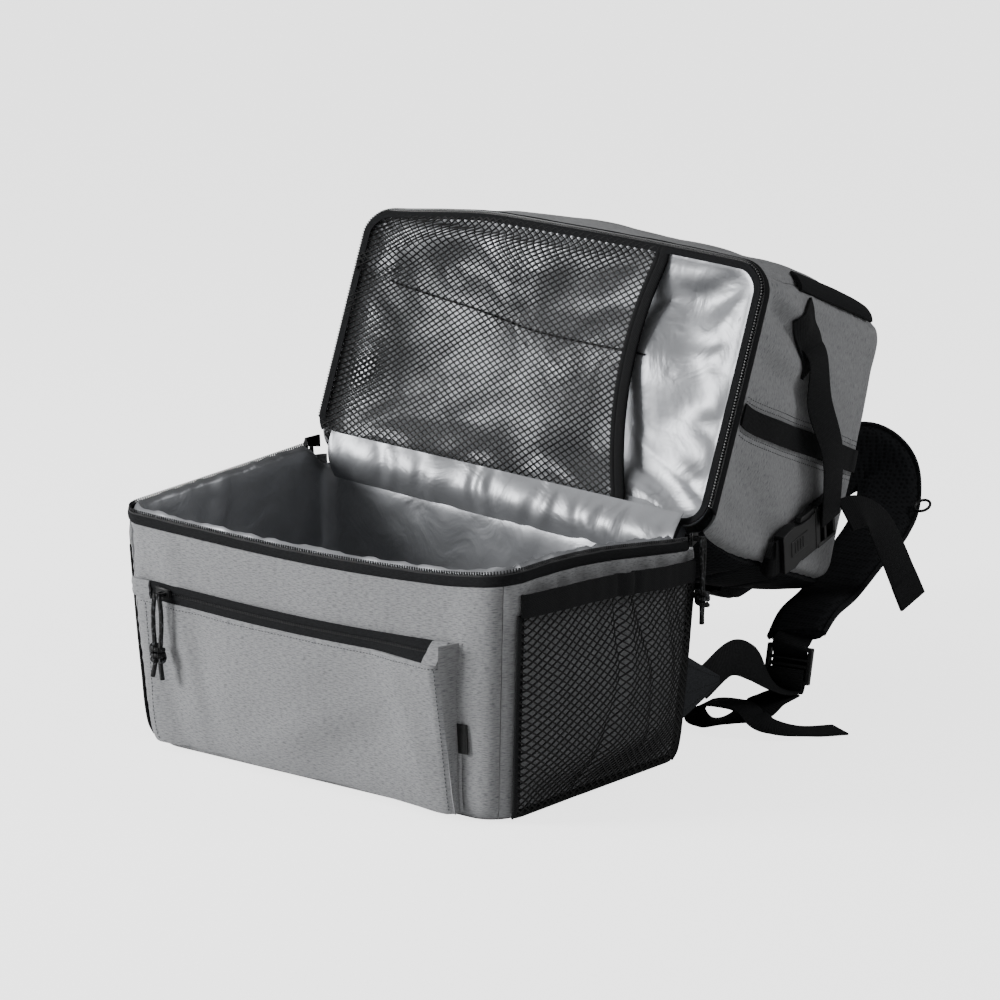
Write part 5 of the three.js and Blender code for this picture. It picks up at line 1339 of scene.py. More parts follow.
def strap_rows(sign, turn):
    """Routes of the compression strap, its buckle and its loose end, as the part's source has them."""
    lift = 2 * GAP + WEBBING_THICKNESS / 2
    over = 2 * (lift + SIDE_BAND_THICKNESS + GAP)
    across = closed_upper(turn(1.92), 0.72) - closed_upper(turn(1.74), 0.45)
    along = (closed_upper(turn(1.74), 0.72) - closed_upper(turn(1.92), 0.45)).normalized()
    face = (across.cross(along) * sign).normalized()
    middle = closed_upper(turn(1.84), 0.62) + face * BUCKLE_THICKNESS
    proud = (BUCKLE_THICKNESS + WEBBING_THICKNESS) / 2 + 2 * GAP
    bar = middle + along * (BUCKLE_LENGTH * 0.36) + face * proud
    table = ((1.22, 0.4, over), (1.38, 0.5, 1.5 * over), (1.54, 0.6, 2 * over))
    strap = on_upper([(turn(u), v, h + 0.8) for u, v, h in table], closed_upper) + [(bar, face)]
    (first, looks), second = strap[0], strap[1][0]
    strap.insert(0, (first - (second - first).normalized() * 10 - looks * (over + CLOTH), looks))
    foot = middle - along * (BUCKLE_LENGTH / 2 + 3 * GAP)
    webbing = [(foot, face), (foot - along * (STRAP_WIDTH / 4), face)]
    webbing += on_upper([(turn(1.96), 0.42, 1.2 * lift)], closed_upper)
    turned = UPPER.to_3x3()
    world = lambda rows: [(UPPER @ place, turned @ looks) for place, looks in rows]
    layer = WEBBING_THICKNESS + GAP
    start = UPPER @ (bar + face * (3 * layer) + along * (5.5 * layer))
    table = (
        (0, 0, 0, 0.8, 0.6), (0.05, 0.15, 0.02, 0.7, 0.7), (0.09, 0.32, -0.1, 0.9, 0.4),
        (0.14, 0.44, -0.32, 1, 0.2), (0.17, 0.55, -0.53, 1, 0.1), (0.2, 0.66, -0.74, 1, 0),
    )
    tail = [
        (start + Vector((sign * out, back, up)) * STRAP_TAIL, Vector((sign * fx, -0.3, fz)))
        for out, back, up, fx, fz in table
    ]
    place = UPPER @ Matrix.Translation(middle) @ axes(along, face).to_4x4()
    return world(strap), world(webbing), tail, place


def axes(along, face):
    """Turns a shape with +Y along and +Z the way its face looks."""
    z = face.normalized()
    x = along.cross(z).normalized()
    return Matrix((x, z.cross(x), z)).transposed()


def outline_prism(bm, points, low, high):
    """Adds a flat plate with the outline of points between two heights."""
    ends = [[bm.verts.new((x, y, z)) for x, y in points] for z in (low, high)]
    bm.faces.new(ends[0][::-1])
    bm.faces.new(ends[1])
    for i in range(len(points)):
        j = (i + 1) % len(points)
        bm.faces.new((ends[0][i], ends[0][j], ends[1][j], ends[1][i]))


def block(bm, centre, size):
    matrix = Matrix.Translation(centre) @ Matrix.Diagonal((*size, 1))
    bmesh.ops.create_cube(bm, size=1, matrix=matrix)


def hardware(name, fill, place, material, replaced, bevel=0.5):
    """A moulded piece from its own builder, rounded and moved to its place."""
    bm = bmesh.new()
    fill(bm)
    bmesh.ops.recalc_face_normals(bm, faces=bm.faces)
    bmesh.ops.transform(bm, matrix=Matrix.Scale(MM, 4) @ place, verts=bm.verts)
    mesh = bpy.data.meshes.new(name)
    bm.to_mesh(mesh)
    bm.free()
    mesh.shade_smooth()
    mesh.set_sharp_from_angle(angle=math.radians(35))
    obj = bpy.data.objects.new(name, mesh)
    bpy.context.scene.collection.objects.link(obj)
    rounding = obj.modifiers.new("Rounded edges", "BEVEL")
    rounding.width, rounding.segments, rounding.limit_method = bevel * MM, 2, "ANGLE"
    return finish_piece(obj, material, replaced)


def buckle_parts(bm):
    """A side-release buckle: a waisted housing, its two sprung arms, the webbing's bars and raised ribs."""
    w, l, t = BUCKLE_WIDTH / 2, BUCKLE_LENGTH / 2, BUCKLE_THICKNESS / 2
    waist = [(-0.86, -1), (0.86, -1), (0.97, -0.62), (0.8, -0.3), (0.74, -0.02), (0.84, 0.2)]
    waist += [(-0.84, 0.2), (-0.74, -0.02), (-0.8, -0.3), (-0.97, -0.62)]
    outline_prism(bm, [(x * w, y * l) for x, y in waist], -t, t)
    for sign in (-1, 1):
        arm = [(0.8, -0.32), (0.99, -0.26), (1.0, 0.3), (0.9, 0.42), (0.78, 0.2), (0.7, 0.0)]
        outline_prism(bm, [(sign * x * w, y * l) for x, y in arm], -t * 0.62, t * 0.62)
        block(bm, (sign * w * 0.9, l * 0.66, 0), (w * 0.18, l * 0.68, 2 * t * 0.9))
    for y, high in ((0.96, 0.08), (0.62, 0.08), (0.34, 0.16)):
        block(bm, (0, y * l, 0), (2 * w * 0.96, high * l, 2 * t * 0.8))
    block(bm, (0, -0.42 * l, t), (w * 0.7, l * 0.62, 0.9))
    for y in (-0.6, -0.5, -0.4, -0.3):
        block(bm, (0, y * l, t + 0.5), (w * 0.5, 1.1, 0.8))


def lock_parts(bm):
    """A ladder lock: a frame with two bars across it and a lifted thumb edge."""
    w, l, t = LOCK_WIDTH / 2, LOCK_LENGTH / 2, LOCK_THICKNESS / 2
    for sign in (-1, 1):
        block(bm, (sign * w * 0.9, 0, 0), (w * 0.2, 2 * l, 2 * t * 0.85))
    for y, deep, high in ((-0.9, 0.2, 0.9), (-0.05, 0.22, 0.7), (0.3, 0.16, 0.9), (0.88, 0.24, 1.0)):
        block(bm, (0, y * l, 0), (2 * w * 0.98, deep * l, 2 * t * high))
    block(bm, (0, l * 0.98, t * 0.6), (2 * w * 0.7, l * 0.2, t * 1.2))


def make_compression_straps():
    for name, sign, turn in SIDES:
        strap, webbing, tail, place = strap_rows(sign, turn)
        width = (STRAP_WIDTH, STRAP_WIDTH)
        obj, _ = ribbon_piece(f"compression_web_{name}", strap, width, WEBBING_THICKNESS, 70)
        finish_piece(obj, "webbing", f"compression_strap_{name}")
        declare_sheet(obj)
        # its first stretch is sewn flat on the side, below the top zip
        run = Vector(((1.27 - 1.09) * UPPER_DEPTH, (0.44 - 0.27) * UPPER_LENGTH)).normalized()

        def sewn(along, across, turn=turn):
            u = lerp(1.09, 1.27, along) - across * STRAP_WIDTH / 2 * run.y / UPPER_DEPTH
            v = lerp(0.27, 0.44, along) + across * STRAP_WIDTH / 2 * run.x / UPPER_LENGTH
            return off_surface(upper_surface, turn(u), v, upper_relief(turn(u), v, (u, v, 0)))

        cloth_piece(
            f"compression_web_root_{name}", sewn, even(0, 1, 30), even(-1, 1, 12), 0.3 * sign, 2.2 * sign,
            "webbing", held=None,
        )
        obj, _ = ribbon_piece(f"buckle_web_{name}", webbing, width, WEBBING_THICKNESS, 20)
        finish_piece(obj, "webbing", f"buckle_webbing_{name}")
        declare_sheet(obj)
        hem = lambda p, run: 0.75 * smoothstep(run, 84, 86)
        obj, _ = ribbon_piece(f"compression_tail_web_{name}", tail, width, WEBBING_THICKNESS, 70, relief=hem)
        finish_piece(obj, "webbing", f"compression_tail_{name}")
        declare_sheet(obj)
        hardware(f"buckle_moulding_{name}", buckle_parts, place, "acetal", f"buckle_{name}")


def make_hinge():
    """The padded fold between the halves: a rounded bolster of cloth."""
    foot = BACK_TOP + GAP / LOWER_HEIGHT
    rings = []
    for turn in even(2.04, 2.96, 60):
        low_in = off_surface(lower_surface, turn, foot, -CLOTH - GAP - INSULATION)
        low_out = off_surface(lower_surface, turn, foot, 0)
        up_out = UPPER @ off_surface(closed_upper, turn, 0.45 * UPPER_SEAM, 0)
        up_in = UPPER @ off_surface(closed_upper, turn, 0.45 * UPPER_SEAM, -CLOTH)
        up_end = UPPER @ off_surface(closed_upper, turn, GAP / UPPER_LENGTH, -CLOTH)
        outer = [low_out.lerp(up_out, t) + Vector((0, 1.6 * math.sin(math.pi * t), 0)) for t in even(0, 1, 5)]
        inner = [up_end.lerp(low_in, t) - Vector((0, 2.5 * math.sin(math.pi * t), 0)) for t in even(0, 1, 6)]
        ripple = unevenness(low_out, 22, 1.2, 5)
        rings.append([*[p + Vector((0, max(0, ripple), 0)) for p in outer], up_in, *inner])
    finish_piece(ring_piece("hinge_cloth", rings, 60), "dark_cloth", "hinge_fold")
    inner = CLOTH + LINING_GAP + INSULATION
    mouth = UPPER_TEETH_END + 2 * GAP / UPPER_LENGTH

    def drape(turn, up):
        """The silver lining that goes over the hinge, from the tub's lip to the lid's, drawn up in gathers."""
        low = off_surface(lower_surface, turn, lining_top(turn) - 0.02, -inner - 1)
        inset = CLOTH + LINING_GAP + 2 * LID_PANEL_THICKNESS
        high = UPPER @ off_surface(closed_upper, turn, -mouth / 2, -inset)
        swell = 6 * math.sin(math.pi * up)
        gathers = math.sin(turn * 88 + 4 * noise.noise(Vector((turn * 9, up, 7))))
        gathers *= 0.4 + 0.6 * noise.noise(Vector((turn * 14, 3, 2)))
        return low.lerp(high, up) - Vector((0, swell + 1.6 * gathers * math.sin(math.pi * up) ** 0.5, 0))

    cloth_piece(
        "hinge_foil", drape, even(2.03, 2.97, 300), even(0, 1, 18), -0.3, 0.3, "foil",
        held="gathered",
    )


def anchor_frame(sign, turn):
    """Where the anchor tab's tip and the ladder lock are."""
    root = lambda height: off_surface(lower_surface, turn(2), height / LOWER_HEIGHT, 2 * GAP)
    tip = root(TAB_RISE) + Vector((sign * GAP, TAB_REACH, -TAB_THICKNESS))
    lock = tip + Vector((0, LOCK_DISTANCE, -2 * TAB_THICKNESS))
    along = Vector((0, 0.2, 1)).normalized()
    face = Vector((sign * 0.3, -1, 0.2)).normalized()
    end = lambda sense: lock + along * (sense * (LOCK_LENGTH / 2 + GAP))
    return root, tip, lock, along, face, end


# The loose end of the anchor webbing: out and back from the lock in shares of TAIL_REACH, height as a share
# of the lock's, and the way its face looks
TAIL_ROUTE = (
    (0, 0, 1, (0, 0, 1)), (-0.02, -0.16, 0.9, (0.1, 0, 1)), (-0.07, -0.3, 0.6, (0.4, 0, 0.9)),
    (-0.2, -0.38, 0.35, (0.3, 0, 1)), (-0.38, -0.42, 0.05, (0, 0, 1)), (-0.47, -0.44, 0.35, (1, 0, 0)),
    (-0.38, -0.42, 0.75, (0, 0, -1)), (-0.18, -0.42, 0.9, (0, 0, -1)), (-0.06, -0.42, 0.85, (-0.3, 0, -1)),
    (0.04, -0.44, 0.6, (-0.9, 0, -0.6)), (0.15, -0.4, 0.35, (-0.3, 0, -1)), (0.32, -0.22, 0.12, (0, 0, -1)),
    (0.45, 0, 0.05, (0, 0, -1)),
)
ARCH_ROUTE = ((0.22, 0.5, 1, 0), (0.48, 0.47, 1, 0.2), (0.72, 0.22, 0.7, 0.7), (0.9, 0, 0.2, 1), (1, 0, 0, 1))


def make_anchors():
    for name, sign, turn in SIDES:
        root, tip, lock, along, face, end = anchor_frame(sign, turn)
        low, high = TAB_RISE - TAB_HEIGHT / 2, TAB_RISE + TAB_HEIGHT / 2
        blunt = Vector((0, 0, TAB_THICKNESS))

        def tab(across, up):
            start = root(low).lerp(root(high), up)
            stop = (tip - blunt).lerp(tip + blunt, up)
            return start.lerp(stop, across)

        middle = lambda u, v: math.sin(math.pi * v) * math.sin(math.pi * clamp(u, 0.05, 1))
        puff = lambda u, v, p: TAB_THICKNESS / 2 * (0.45 + 0.7 * middle(u, v) ** 0.4)
        under = lambda *at: -puff(*at)
        stops = even(0, 1, 24)
        obj = sheet_piece(f"anchor_tab_cloth_{name}", *layered(tab, stops, stops, under, puff))
        finish_piece(obj, "dark_cloth", f"anchor_tab_{name}")
        run = even(0.02, 0.95, 20)
        seams = ((0.12, 0.08), (0.88, -0.08), (0.42, 0))
        rows = [[(a, begin + slant * a) for a in run] for begin, slant in seams]
        lines = [surface_line(tab, row, lambda u, v, p: sign * (puff(u, v, p) + 0.1)) for row in rows]
        pitch = sizes().stitch_pitch
        repeated(f"tab_stitches_{name}", lines, "grain", pitch, STITCH, "thread_black")

        hardware(
            f"ladder_lock_moulding_{name}", lock_parts, Matrix.Translation(lock) @ axes(along, face).to_4x4(),
            "acetal", f"ladder_lock_{name}", 0.7,
        )
        half = LOCK_LENGTH / 2
        stops = ((-0.2, 4.5), (-0.9, 5), (-1.45, 1.5), (-1.45, -1.5), (-0.9, -5), (-0.2, -4.5))
        loop = [(lock + along * (half * a) + face * b, face * math.copysign(1, b)) for a, b in stops]
        obj, _ = ribbon_piece(f"lock_loop_web_{name}", loop, (STRAP_WIDTH, STRAP_WIDTH), WEBBING_THICKNESS, 40)
        finish_piece(obj, "webbing")
        inside = Vector((-sign * (TAB_THICKNESS / 2 + WEBBING_THICKNESS / 2 + 2 * GAP), 0, 0))
        held = tip + inside + Vector((0, -TAB_REACH / 3, 0))
        under_lock = end(-1) + Vector((0, 0, -3 * WEBBING_THICKNESS))
        rows = [(held, Vector((sign, 0, 0)))]
        for share, up, fx, fz in ARCH_ROUTE:
            place = tip.lerp(under_lock, share) + inside * (1 - share) + Vector((0, 0, up * LOCK_WIDTH))
            rows.append((place, Vector((sign * fx, 0, fz))))
        width = (ANCHOR_WIDTH, ANCHOR_WIDTH)
        obj, _ = ribbon_piece(f"anchor_web_{name}", rows, width, WEBBING_THICKNESS, 60)
        finish_piece(obj, "webbing", f"anchor_webbing_{name}")
        declare_sheet(obj)
        start = under_lock + Vector((0, 0, -1.5 * WEBBING_THICKNESS))
        rows = []
        for out, back, height, looks in TAIL_ROUTE:
            z = max(WEBBING_THICKNESS / 2, height * start.z)
            place = Vector((start.x + sign * out * TAIL_REACH, start.y + back * TAIL_REACH, z))
            rows.append((place, Vector((sign * looks[0], looks[1], looks[2]))))
        obj, _ = ribbon_piece(f"strap_tail_web_{name}", rows, width, WEBBING_THICKNESS, 150)
        finish_piece(obj, "webbing", f"strap_tail_{name}")
        declare_sheet(obj)


# A shoulder strap's way round: along from its seam to the lock, then out, back and up in shares of
# SHOULDER_SWING, and the way its face looks
SHOULDER_ROUTE = (
    (0.1, -0.04, 0.44, 0.04, (0, 0.8, -0.6)), (0.22, -0.06, 0.67, 0.25, (-0.1, 1, -0.2)),
    (0.35, -0.03, 0.86, 0.43, (-0.3, 0.95, -0.1)), (0.48, -0.01, 0.96, 0.49, (-0.4, 0.9, -0.1)),
    (0.58, 0, 1.01, 0.45, (-0.5, 0.85, -0.1)), (0.66, 0, 0.98, 0.36, (-0.5, 0.85, -0.2)),
    (0.74, 0, 0.84, 0.27, (-0.3, 0.8, -0.5)), (0.82, -0.01, 0.61, 0.19, (-0.1, 0.5, -0.8)),
    (0.9, -0.02, 0.38, 0.11, (0, 0.4, -0.9)), (0.96, -0.02, 0.18, 0.08, (0, 0.4, -0.9)),
)


def make_shoulder_straps():
    for name, sign, turn in SIDES:
        end = anchor_frame(sign, turn)[5](1)
        sewn_turn, sewn_rise = turn(2.3), 0.86
        lift = upper_pad_swell(sewn_turn, sewn_rise) + GAP + SHOULDER_THICKNESS / 2
        flat = off_surface(closed_upper, sewn_turn, sewn_rise, lift)
        sewn, away = UPPER @ flat, UPPER @ (flat + Vector((0, 0, SHOULDER_WIDTH * 0.7)))
        under = (UPPER.to_3x3() @ Vector((0, 1, 0))).normalized()
        rows = [(sewn, under), (away, under)]
        for share, out, back, up, looks in SHOULDER_ROUTE:
            place = sewn.lerp(end, share) + Vector((sign * out, back, up)) * SHOULDER_SWING
            rows.append((place, Vector((sign * looks[0], looks[1], looks[2]))))
        rows.append((end + Vector((0, 0.6, 0.6)) * SHOULDER_THICKNESS, Vector((0, 0.6, -0.8))))
        crown = lambda p, run: -SHOULDER_THICKNESS * 0.28 * (math.exp(-(((abs(p) - 0.86) / 0.05) ** 2)))
        widths = (SHOULDER_WIDTH, SHOULDER_END_WIDTH)
        obj, line = ribbon_piece(
            f"shoulder_pad_{name}", rows, widths, SHOULDER_THICKNESS, 120, PAD_EDGE, crown
        )
        finish_piece(obj, "spacer", f"shoulder_strap_{name}")
        root, tip, lock, along, face, end = anchor_frame(sign, turn)
        half = LOCK_LENGTH / 2
        loop = [(line[-9], face), (line[-1], face)]
        loop += [(lock + along * (half * 0.98) + face * 4.6, face), (lock + along * (half * 0.5) - face, face)]
        loop.append((lock - along * (half * 0.4) - face * 2, face))
        obj, _ = ribbon_piece(f"lock_top_web_{name}", loop, (STRAP_WIDTH, STRAP_WIDTH), WEBBING_THICKNESS, 40)
        finish_piece(obj, "webbing")
        # a small plastic ring for clipping things stands on the strap's outer edge
        i = 74
        tangent = (line[i + 1] - line[i - 1]).normalized()
        out = Vector((sign, 0, 0)) - tangent * tangent.x * sign
        centre = line[i] + out.normalized() * (SHOULDER_WIDTH / 2 + 1)
        ring = []
        for a in even(0, 2 * math.pi, 24)[:-1]:
            middle = centre + out.normalized() * (6 * math.cos(a)) + tangent * (6 * math.sin(a))
            spoke = (middle - centre).normalized()
            axis = out.cross(tangent).normalized()
            angles = even(0, 2 * math.pi, 8)[:-1]
            ring.append([middle + spoke * (1.1 * math.cos(b)) + axis * (1.1 * math.sin(b)) for b in angles])
        obj = ring_piece(f"strap_ring_{name}", ring + [ring[0]], 60, (False, False))
        bm = bmesh.new()
        bm.from_mesh(obj.data)
        bmesh.ops.remove_doubles(bm, verts=bm.verts, dist=1e-6)
        bm.to_mesh(obj.data)
        bm.free()
        finish_piece(obj, "acetal")


def slider_parts(bm):
    """A coil zip's slider: a tapered upper plate, a lower plate, the post between them and the bail."""
    w, l, t = SLIDER_WIDTH / 2, SLIDER_LENGTH / 2, SLIDER_THICKNESS
    plate = [(-w, l), (-w * 0.66, -l), (w * 0.66, -l), (w, l)]
    outline_prism(bm, plate, 0, t * 0.22)
    outline_prism(bm, plate, t * 0.32, t * 0.52)
    block(bm, (0, l * 0.7, t * 0.28), (w * 0.5, l * 0.4, t * 0.3))
    for y in (-0.42, 0.42):
        block(bm, (0, y * l, t * 0.8), (w * 0.55, l * 0.22, t * 0.7))
    block(bm, (0, 0, t * 1.15), (w * 0.55, l * 1.06, t * 0.22))


def pull_seats():
    """Where each slider sits, and the ways that it runs and looks."""
    seats = {}
    rise = 1 - TEETH_HEIGHT / LOWER_HEIGHT / 2
    for name, sign, turn in SIDES:
        out = normal_of(lower_surface, turn(1.95), rise)
        seats["main_" + name] = (lower_surface(turn(1.95), rise), out.cross(Vector((0, 0, 1))), out)
    eye, run = (POCKET_HIGH + POCKET_ZIP_TOP) / 2, POCKET_SLIDER_RUN
    lift = GAP + pocket_puff(run, POCKET_HIGH) / 2 + TAPE_THICKNESS + GAP
    out = normal_of(pocket_surface, run, eye)
    seats["pocket"] = (off_surface(pocket_surface, run, eye, lift + 1), Vector((-1, 0, 0)), out)
    return seats


PULL_ROUTE = (
    (-0.04, 0.5), (0.06, 1.2), (0.2, 1.55), (0.35, 1.8),
    (0.52, 1.75), (0.7, 1.6), (0.86, 1.25), (1, 1),
)


def make_zip_pulls():
    """Each pull is a doubled cord through the slider's bail with a knot; the strands hang, a little apart."""
    for name, (seat, along, out) in pull_seats().items():
        place = Matrix.Translation(seat) @ axes(along, out).to_4x4()
        hardware(f"{name}_slider", slider_parts, place, "slider", f"{name}_zip_slider", 0.3)
        down = Vector((0, 0, -1))
        side = down.cross(out).normalized()
        fold = seat + out * (SLIDER_THICKNESS * 1.25 + PULL_CORD / 2 + GAP)
        centre = fold + down * (PULL_DROP + KNOT_RADIUS + GAP)
        knot = knot_piece(f"{name}_pull_knot_ends", centre, side, out, f"{name}_pull_knot")
        for number, sign in enumerate((-1, 1)):
            lean = out * (0.8 * sign)
            route = []
            for drop, wide in PULL_ROUTE:
                apart = side * (sign * wide * (PULL_CORD / 2 + GAP))
                route.append(fold + down * (drop * PULL_DROP) + apart + lean * drop)
            route.append(centre + side * (sign * PULL_CORD * 0.4))
            line = smooth_line(route, 24)
            curve = bpy.data.curves.new(f"{name}_pull_strand_{number + 1}", "CURVE")
            curve.dimensions = "3D"
            curve.bevel_depth = PULL_CORD / 2 * MM
            curve.bevel_resolution = 3
            curve.use_fill_caps = True
            spline = curve.splines.new("POLY")
            spline.points.add(len(line) - 1)
            for point, at in zip(spline.points, line):
                point.co = (*(at * MM), 1)
            spline.use_smooth = True
            obj = bpy.data.objects.new(curve.name, curve)
            bpy.context.scene.collection.objects.link(obj)
            finish_piece(obj, "cord", f"{name}_pull_cord")


def knot_piece(name, centre, side, out, replaced):
    """An overhand knot as a few turns of the cord, and the two frayed ends below it."""
    bm = bmesh.new()

    def tube(points, radius, sides=8):
        line = smooth_line(points, 6 * len(points))
        rings = []
        spare = Vector((0.3, 0.5, 0.8))
        for i, p in enumerate(line):
            tangent = (line[min(i + 1, len(line) - 1)] - line[max(i - 1, 0)]).normalized()
            a = tangent.cross(spare).normalized()
            b = tangent.cross(a)
            angles = even(0, 2 * math.pi, sides)[:-1]
            ring = [p + a * (radius * math.cos(t)) + b * (radius * math.sin(t)) for t in angles]
            rings.append([bm.verts.new(place * MM) for place in ring])
        for first, second in zip(rings, rings[1:]):
            for i in range(sides):
                j = (i + 1) % sides
                bm.faces.new((first[i], first[j], second[j], second[i]))
        bm.faces.new(rings[0][::-1])
        bm.faces.new(rings[-1])

    r = KNOT_RADIUS * 1.2
    turned = lambda x, y, z: centre + side * x + out * y + Vector((0, 0, z))
    whole = 4.6 * math.pi
    coil = [
        turned(r * 0.62 * math.cos(a), r * 0.62 * math.sin(a), r * 0.75 - r * 1.5 * a / whole)
        for a in even(0, whole, 16)
    ]
    tube(coil, PULL_CORD * 0.5)
    wrap = [
        turned(r * 0.85 * math.sin(a) * 0.8, r * 0.75 * math.cos(a), r * 0.9 * math.sin(a))
        for a in even(0.2, 1.7 * math.pi, 9)
    ]
    tube(wrap, PULL_CORD * 0.48)
    for sign in (-1, 1):
        spread = PULL_CORD * (0.6 if sign < 0 else 1.0)
        ends = [turned(sign * PULL_CORD * 0.5, 0, -r * 0.3)]
        ends.append(turned(sign * spread, sign * 0.8, -r - PULL_TAIL * 0.45))
        ends.append(turned(sign * spread * 1.3, sign * 1.2, -r - PULL_TAIL * (0.95 if sign < 0 else 0.8)))
        tube(ends, PULL_CORD * 0.52)
    bmesh.ops.recalc_face_normals(bm, faces=bm.faces)
    mesh = bpy.data.meshes.new(name)
    bm.to_mesh(mesh)
    bm.free()
    mesh.shade_smooth()
    mesh.set_sharp_from_angle(angle=math.radians(50))
    obj = bpy.data.objects.new(name, mesh)
    bpy.context.scene.collection.objects.link(obj)
    return finish_piece(obj, "cord", replaced)


# Camera, light and floor

EYE = Vector((1.2747, -1.4922, 0.5639))
LOOKS = Vector((-0.6133, 0.7652, -0.1956))


def make_camera():
    data = bpy.data.cameras.new("photo_camera")
    data.lens, data.sensor_width = 108.33, 36
    camera = bpy.data.objects.new("photo_camera", data)
    camera.location = EYE
    camera.rotation_euler = LOOKS.to_track_quat("-Z", "Y").to_euler()
    bpy.context.scene.collection.objects.link(camera)
    bpy.context.scene.camera = camera


def make_stage():
    mesh = bpy.data.meshes.new("studio_floor")
    reach_m, drop_m = 40, -0.0004
    corners = [(x * reach_m, y * reach_m, drop_m) for x, y in ((-1, -1), (1, -1), (1, 1), (-1, 1))]
    mesh.from_pydata(corners, [], [(0, 1, 2, 3)])
    floor = bpy.data.objects.new("studio_floor", mesh)
    bpy.context.scene.collection.objects.link(floor)
    material, tree, shader, where = new_material("studio_floor_paint", on_object=True)
    tint = tuple(colours().floor)
    dull = tuple(c * 0.98 for c in tint[:3]) + (1,)
    tree.links.new(mottle(tree, where, (900, 900, 900), (dull, tint)), shader.inputs["Base Color"])
    shader.inputs["Roughness"].default_value = 0.9
    shader.inputs["Specular IOR Level"].default_value = 0.1
    seen = add_node(tree, "ShaderNodeLightPath").outputs["Is Camera Ray"]
    glow = add_node(tree, "ShaderNodeMath", {"operation": "MULTIPLY"}, _0=seen, _1=2.4)
    tree.links.new(glow.outputs[0], shader.inputs["Emission Strength"])
    shader.inputs["Emission Color"].default_value = (1, 1, 1, 1)
    mesh.materials.append(material)
    world = bpy.data.worlds.new("studio_air")
    bpy.context.scene.world = world
    world.use_nodes = True
    air = world.node_tree.nodes["Background"]
    air.inputs[0].default_value = (1, 1, 1, 1)
    air.inputs[1].default_value = 0.15
    for name, place, size, power in (
        ("key_softbox", (-1.9, -2.0, 0.95), 1.1, 86),
        ("top_softbox", (-0.6, -0.6, 2.4), 1.4, 8),
        ("back_softbox", (1.9, 1.1, 1.5), 0.9, 14),
    ):
        light = bpy.data.lights.new(name, "AREA")
        light.size, light.energy = size, power
        obj = bpy.data.objects.new(name, light)
        obj.location = place
        aim = Vector((0, 0.1, 0.15)) - Vector(place)
        obj.rotation_euler = aim.to_track_quat("-Z", "Y").to_euler()
        bpy.context.scene.collection.objects.link(obj)


# Operators, one for each group of pieces


class BACKPACK_OT_materials(bpy.types.Operator):
    """Makes the cloth, foil, webbing and plastic materials"""

    bl_idname = "backpack.materials"
    bl_label = "Materials"

    def execute(self, context):
        make_materials()
        return {"FINISHED"}


class BACKPACK_OT_camera(bpy.types.Operator):
    """Places the camera at the photograph's angle"""

    bl_idname = "backpack.camera"
    bl_label = "Camera"

    def execute(self, context):
        make_camera()
        return {"FINISHED"}


class BACKPACK_OT_zip_pulls(bpy.types.Operator):
    """Makes the sliders, their doubled cords and knots"""

    bl_idname = "backpack.zip_pulls"
    bl_label = "Zip pulls"

    def execute(self, context):
        make_zip_pulls()
        return {"FINISHED"}


class BACKPACK_OT_lower_shell(bpy.types.Operator):
    """Makes the lower half's cloth and its back cushion"""

    bl_idname = "backpack.lower_shell"
    bl_label = "Lower shell"

    def execute(self, context):
        make_lower_shell()
        return {"FINISHED"}


class BACKPACK_OT_cooler_lining(bpy.types.Operator):
    """Makes the silver tub"""

    bl_idname = "backpack.cooler_lining"
    bl_label = "Cooler lining"

    def execute(self, context):
        make_cooler_lining()
        return {"FINISHED"}


class BACKPACK_OT_main_zips(bpy.types.Operator):
    """Makes both tapes and rows of teeth"""

    bl_idname = "backpack.main_zips"
    bl_label = "Main zips"

    def execute(self, context):
        make_main_zips()
        return {"FINISHED"}


class BACKPACK_OT_front_pocket(bpy.types.Operator):
    """Makes the pocket, its zip, tabs and blank label"""

    bl_idname = "backpack.front_pocket"
    bl_label = "Front pocket"

    def execute(self, context):
        make_front_pocket()
        return {"FINISHED"}


class BACKPACK_OT_side_nets(bpy.types.Operator):
    """Makes the two net pockets and their bindings"""

    bl_idname = "backpack.side_nets"
    bl_label = "Side nets"

    def execute(self, context):
        make_side_nets()
        return {"FINISHED"}


class BACKPACK_OT_upper_shell(bpy.types.Operator):
    """Makes the upper half's cloth and its back cushion"""

    bl_idname = "backpack.upper_shell"
    bl_label = "Upper shell"

    def execute(self, context):
        make_upper_shell()
        return {"FINISHED"}


class BACKPACK_OT_lid_lining(bpy.types.Operator):
    """Makes the silver panel of the upper half"""

    bl_idname = "backpack.lid_lining"
    bl_label = "Lid lining"

    def execute(self, context):
        make_lid_lining()
        return {"FINISHED"}


class BACKPACK_OT_lid_net(bpy.types.Operator):
    """Makes the net pocket over the silver panel"""

    bl_idname = "backpack.lid_net"
    bl_label = "Lid net"

    def execute(self, context):
        make_lid_net()
        return {"FINISHED"}


class BACKPACK_OT_upper_trim(bpy.types.Operator):
    """Makes the top zip's covers and the side bands"""

    bl_idname = "backpack.upper_trim"
    bl_label = "Upper trim"

    def execute(self, context):
        make_upper_trim()
        return {"FINISHED"}


class BACKPACK_OT_compression(bpy.types.Operator):
    """Makes the straps, buckles and loose ends"""

    bl_idname = "backpack.compression"
    bl_label = "Compression straps"

    def execute(self, context):
        make_compression_straps()
        return {"FINISHED"}


class BACKPACK_OT_hinge(bpy.types.Operator):
    """Makes the cloth fold between the halves"""

    bl_idname = "backpack.hinge"
    bl_label = "Hinge"

    def execute(self, context):
        make_hinge()
        return {"FINISHED"}


class BACKPACK_OT_anchors(bpy.types.Operator):
    """Makes the tabs, webbing and ladder locks"""

    bl_idname = "backpack.anchors"
    bl_label = "Strap anchors"

    def execute(self, context):
        make_anchors()
        return {"FINISHED"}


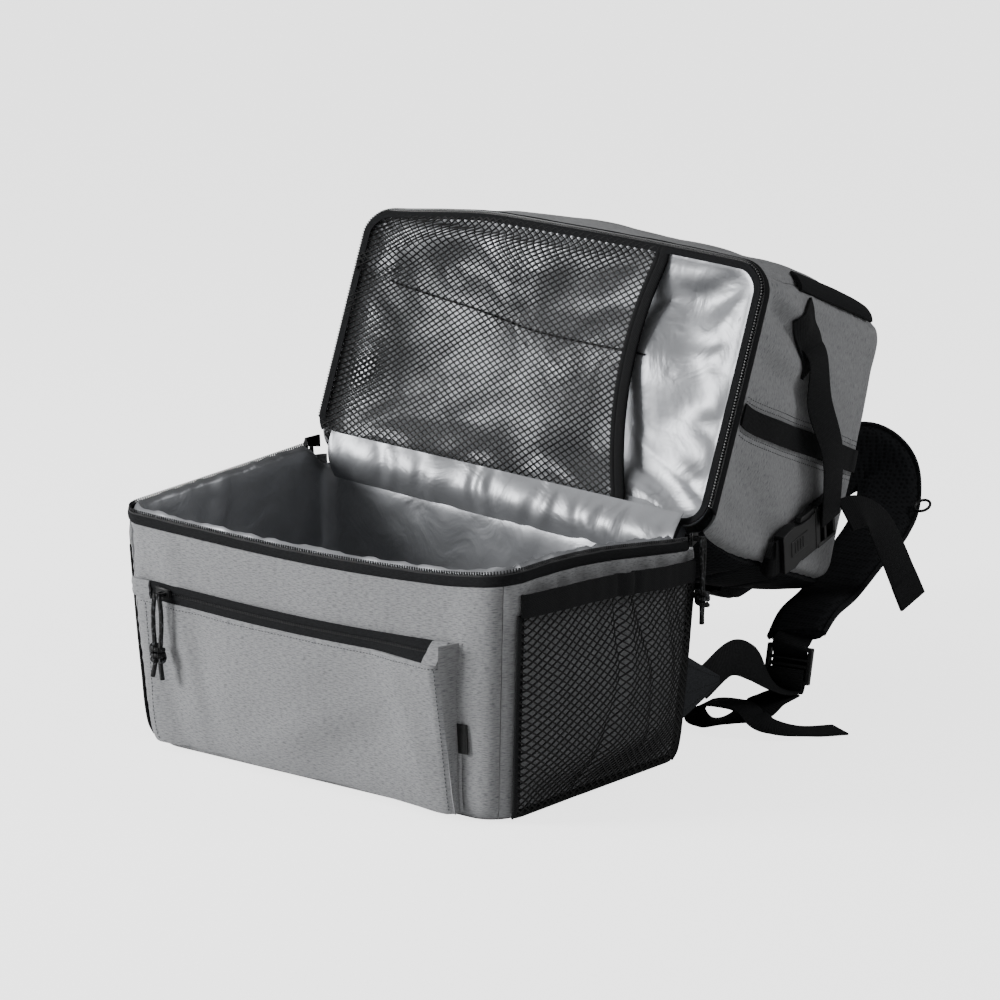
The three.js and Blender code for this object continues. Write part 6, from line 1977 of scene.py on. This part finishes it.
class BACKPACK_OT_shoulder_straps(bpy.types.Operator):
    """Makes the padded straps"""

    bl_idname = "backpack.shoulder_straps"
    bl_label = "Shoulder straps"

    def execute(self, context):
        make_shoulder_straps()
        return {"FINISHED"}


class BACKPACK_OT_stage(bpy.types.Operator):
    """Makes the floor and the studio light"""

    bl_idname = "backpack.stage"
    bl_label = "Stage"

    def execute(self, context):
        make_stage()
        return {"FINISHED"}


OPERATORS = (
    BACKPACK_OT_materials,
    BACKPACK_OT_camera,
    BACKPACK_OT_zip_pulls,
    BACKPACK_OT_lower_shell,
    BACKPACK_OT_cooler_lining,
    BACKPACK_OT_main_zips,
    BACKPACK_OT_front_pocket,
    BACKPACK_OT_side_nets,
    BACKPACK_OT_upper_shell,
    BACKPACK_OT_lid_lining,
    BACKPACK_OT_lid_net,
    BACKPACK_OT_upper_trim,
    BACKPACK_OT_compression,
    BACKPACK_OT_hinge,
    BACKPACK_OT_anchors,
    BACKPACK_OT_shoulder_straps,
    BACKPACK_OT_stage,
)


class BACKPACK_PT_panel(bpy.types.Panel):
    """Sizes, colours and steps of the cooler backpack"""

    bl_label = "Cooler backpack"
    bl_space_type = "VIEW_3D"
    bl_region_type = "UI"
    bl_category = "Backpack"

    def draw(self, context):
        for group in (context.scene.backpack_sizes, context.scene.backpack_colours):
            box = self.layout.box()
            for key in group.__annotations__:
                box.prop(group, key)
        for step in OPERATORS:
            self.layout.operator(step.bl_idname)


CLASSES = (BackpackSizes, BackpackColours, *OPERATORS, BACKPACK_PT_panel)


def register():
    for item in CLASSES:
        bpy.utils.register_class(item)
    bpy.types.Scene.backpack_sizes = bpy.props.PointerProperty(type=BackpackSizes)
    bpy.types.Scene.backpack_colours = bpy.props.PointerProperty(type=BackpackColours)


def unregister():
    del bpy.types.Scene.backpack_colours
    del bpy.types.Scene.backpack_sizes
    for item in reversed(CLASSES):
        bpy.utils.unregister_class(item)


def main():
    register()
    for step in OPERATORS:
        getattr(bpy.ops.backpack, step.bl_idname.split(".")[1])()


if __name__ == "__main__":
    main()
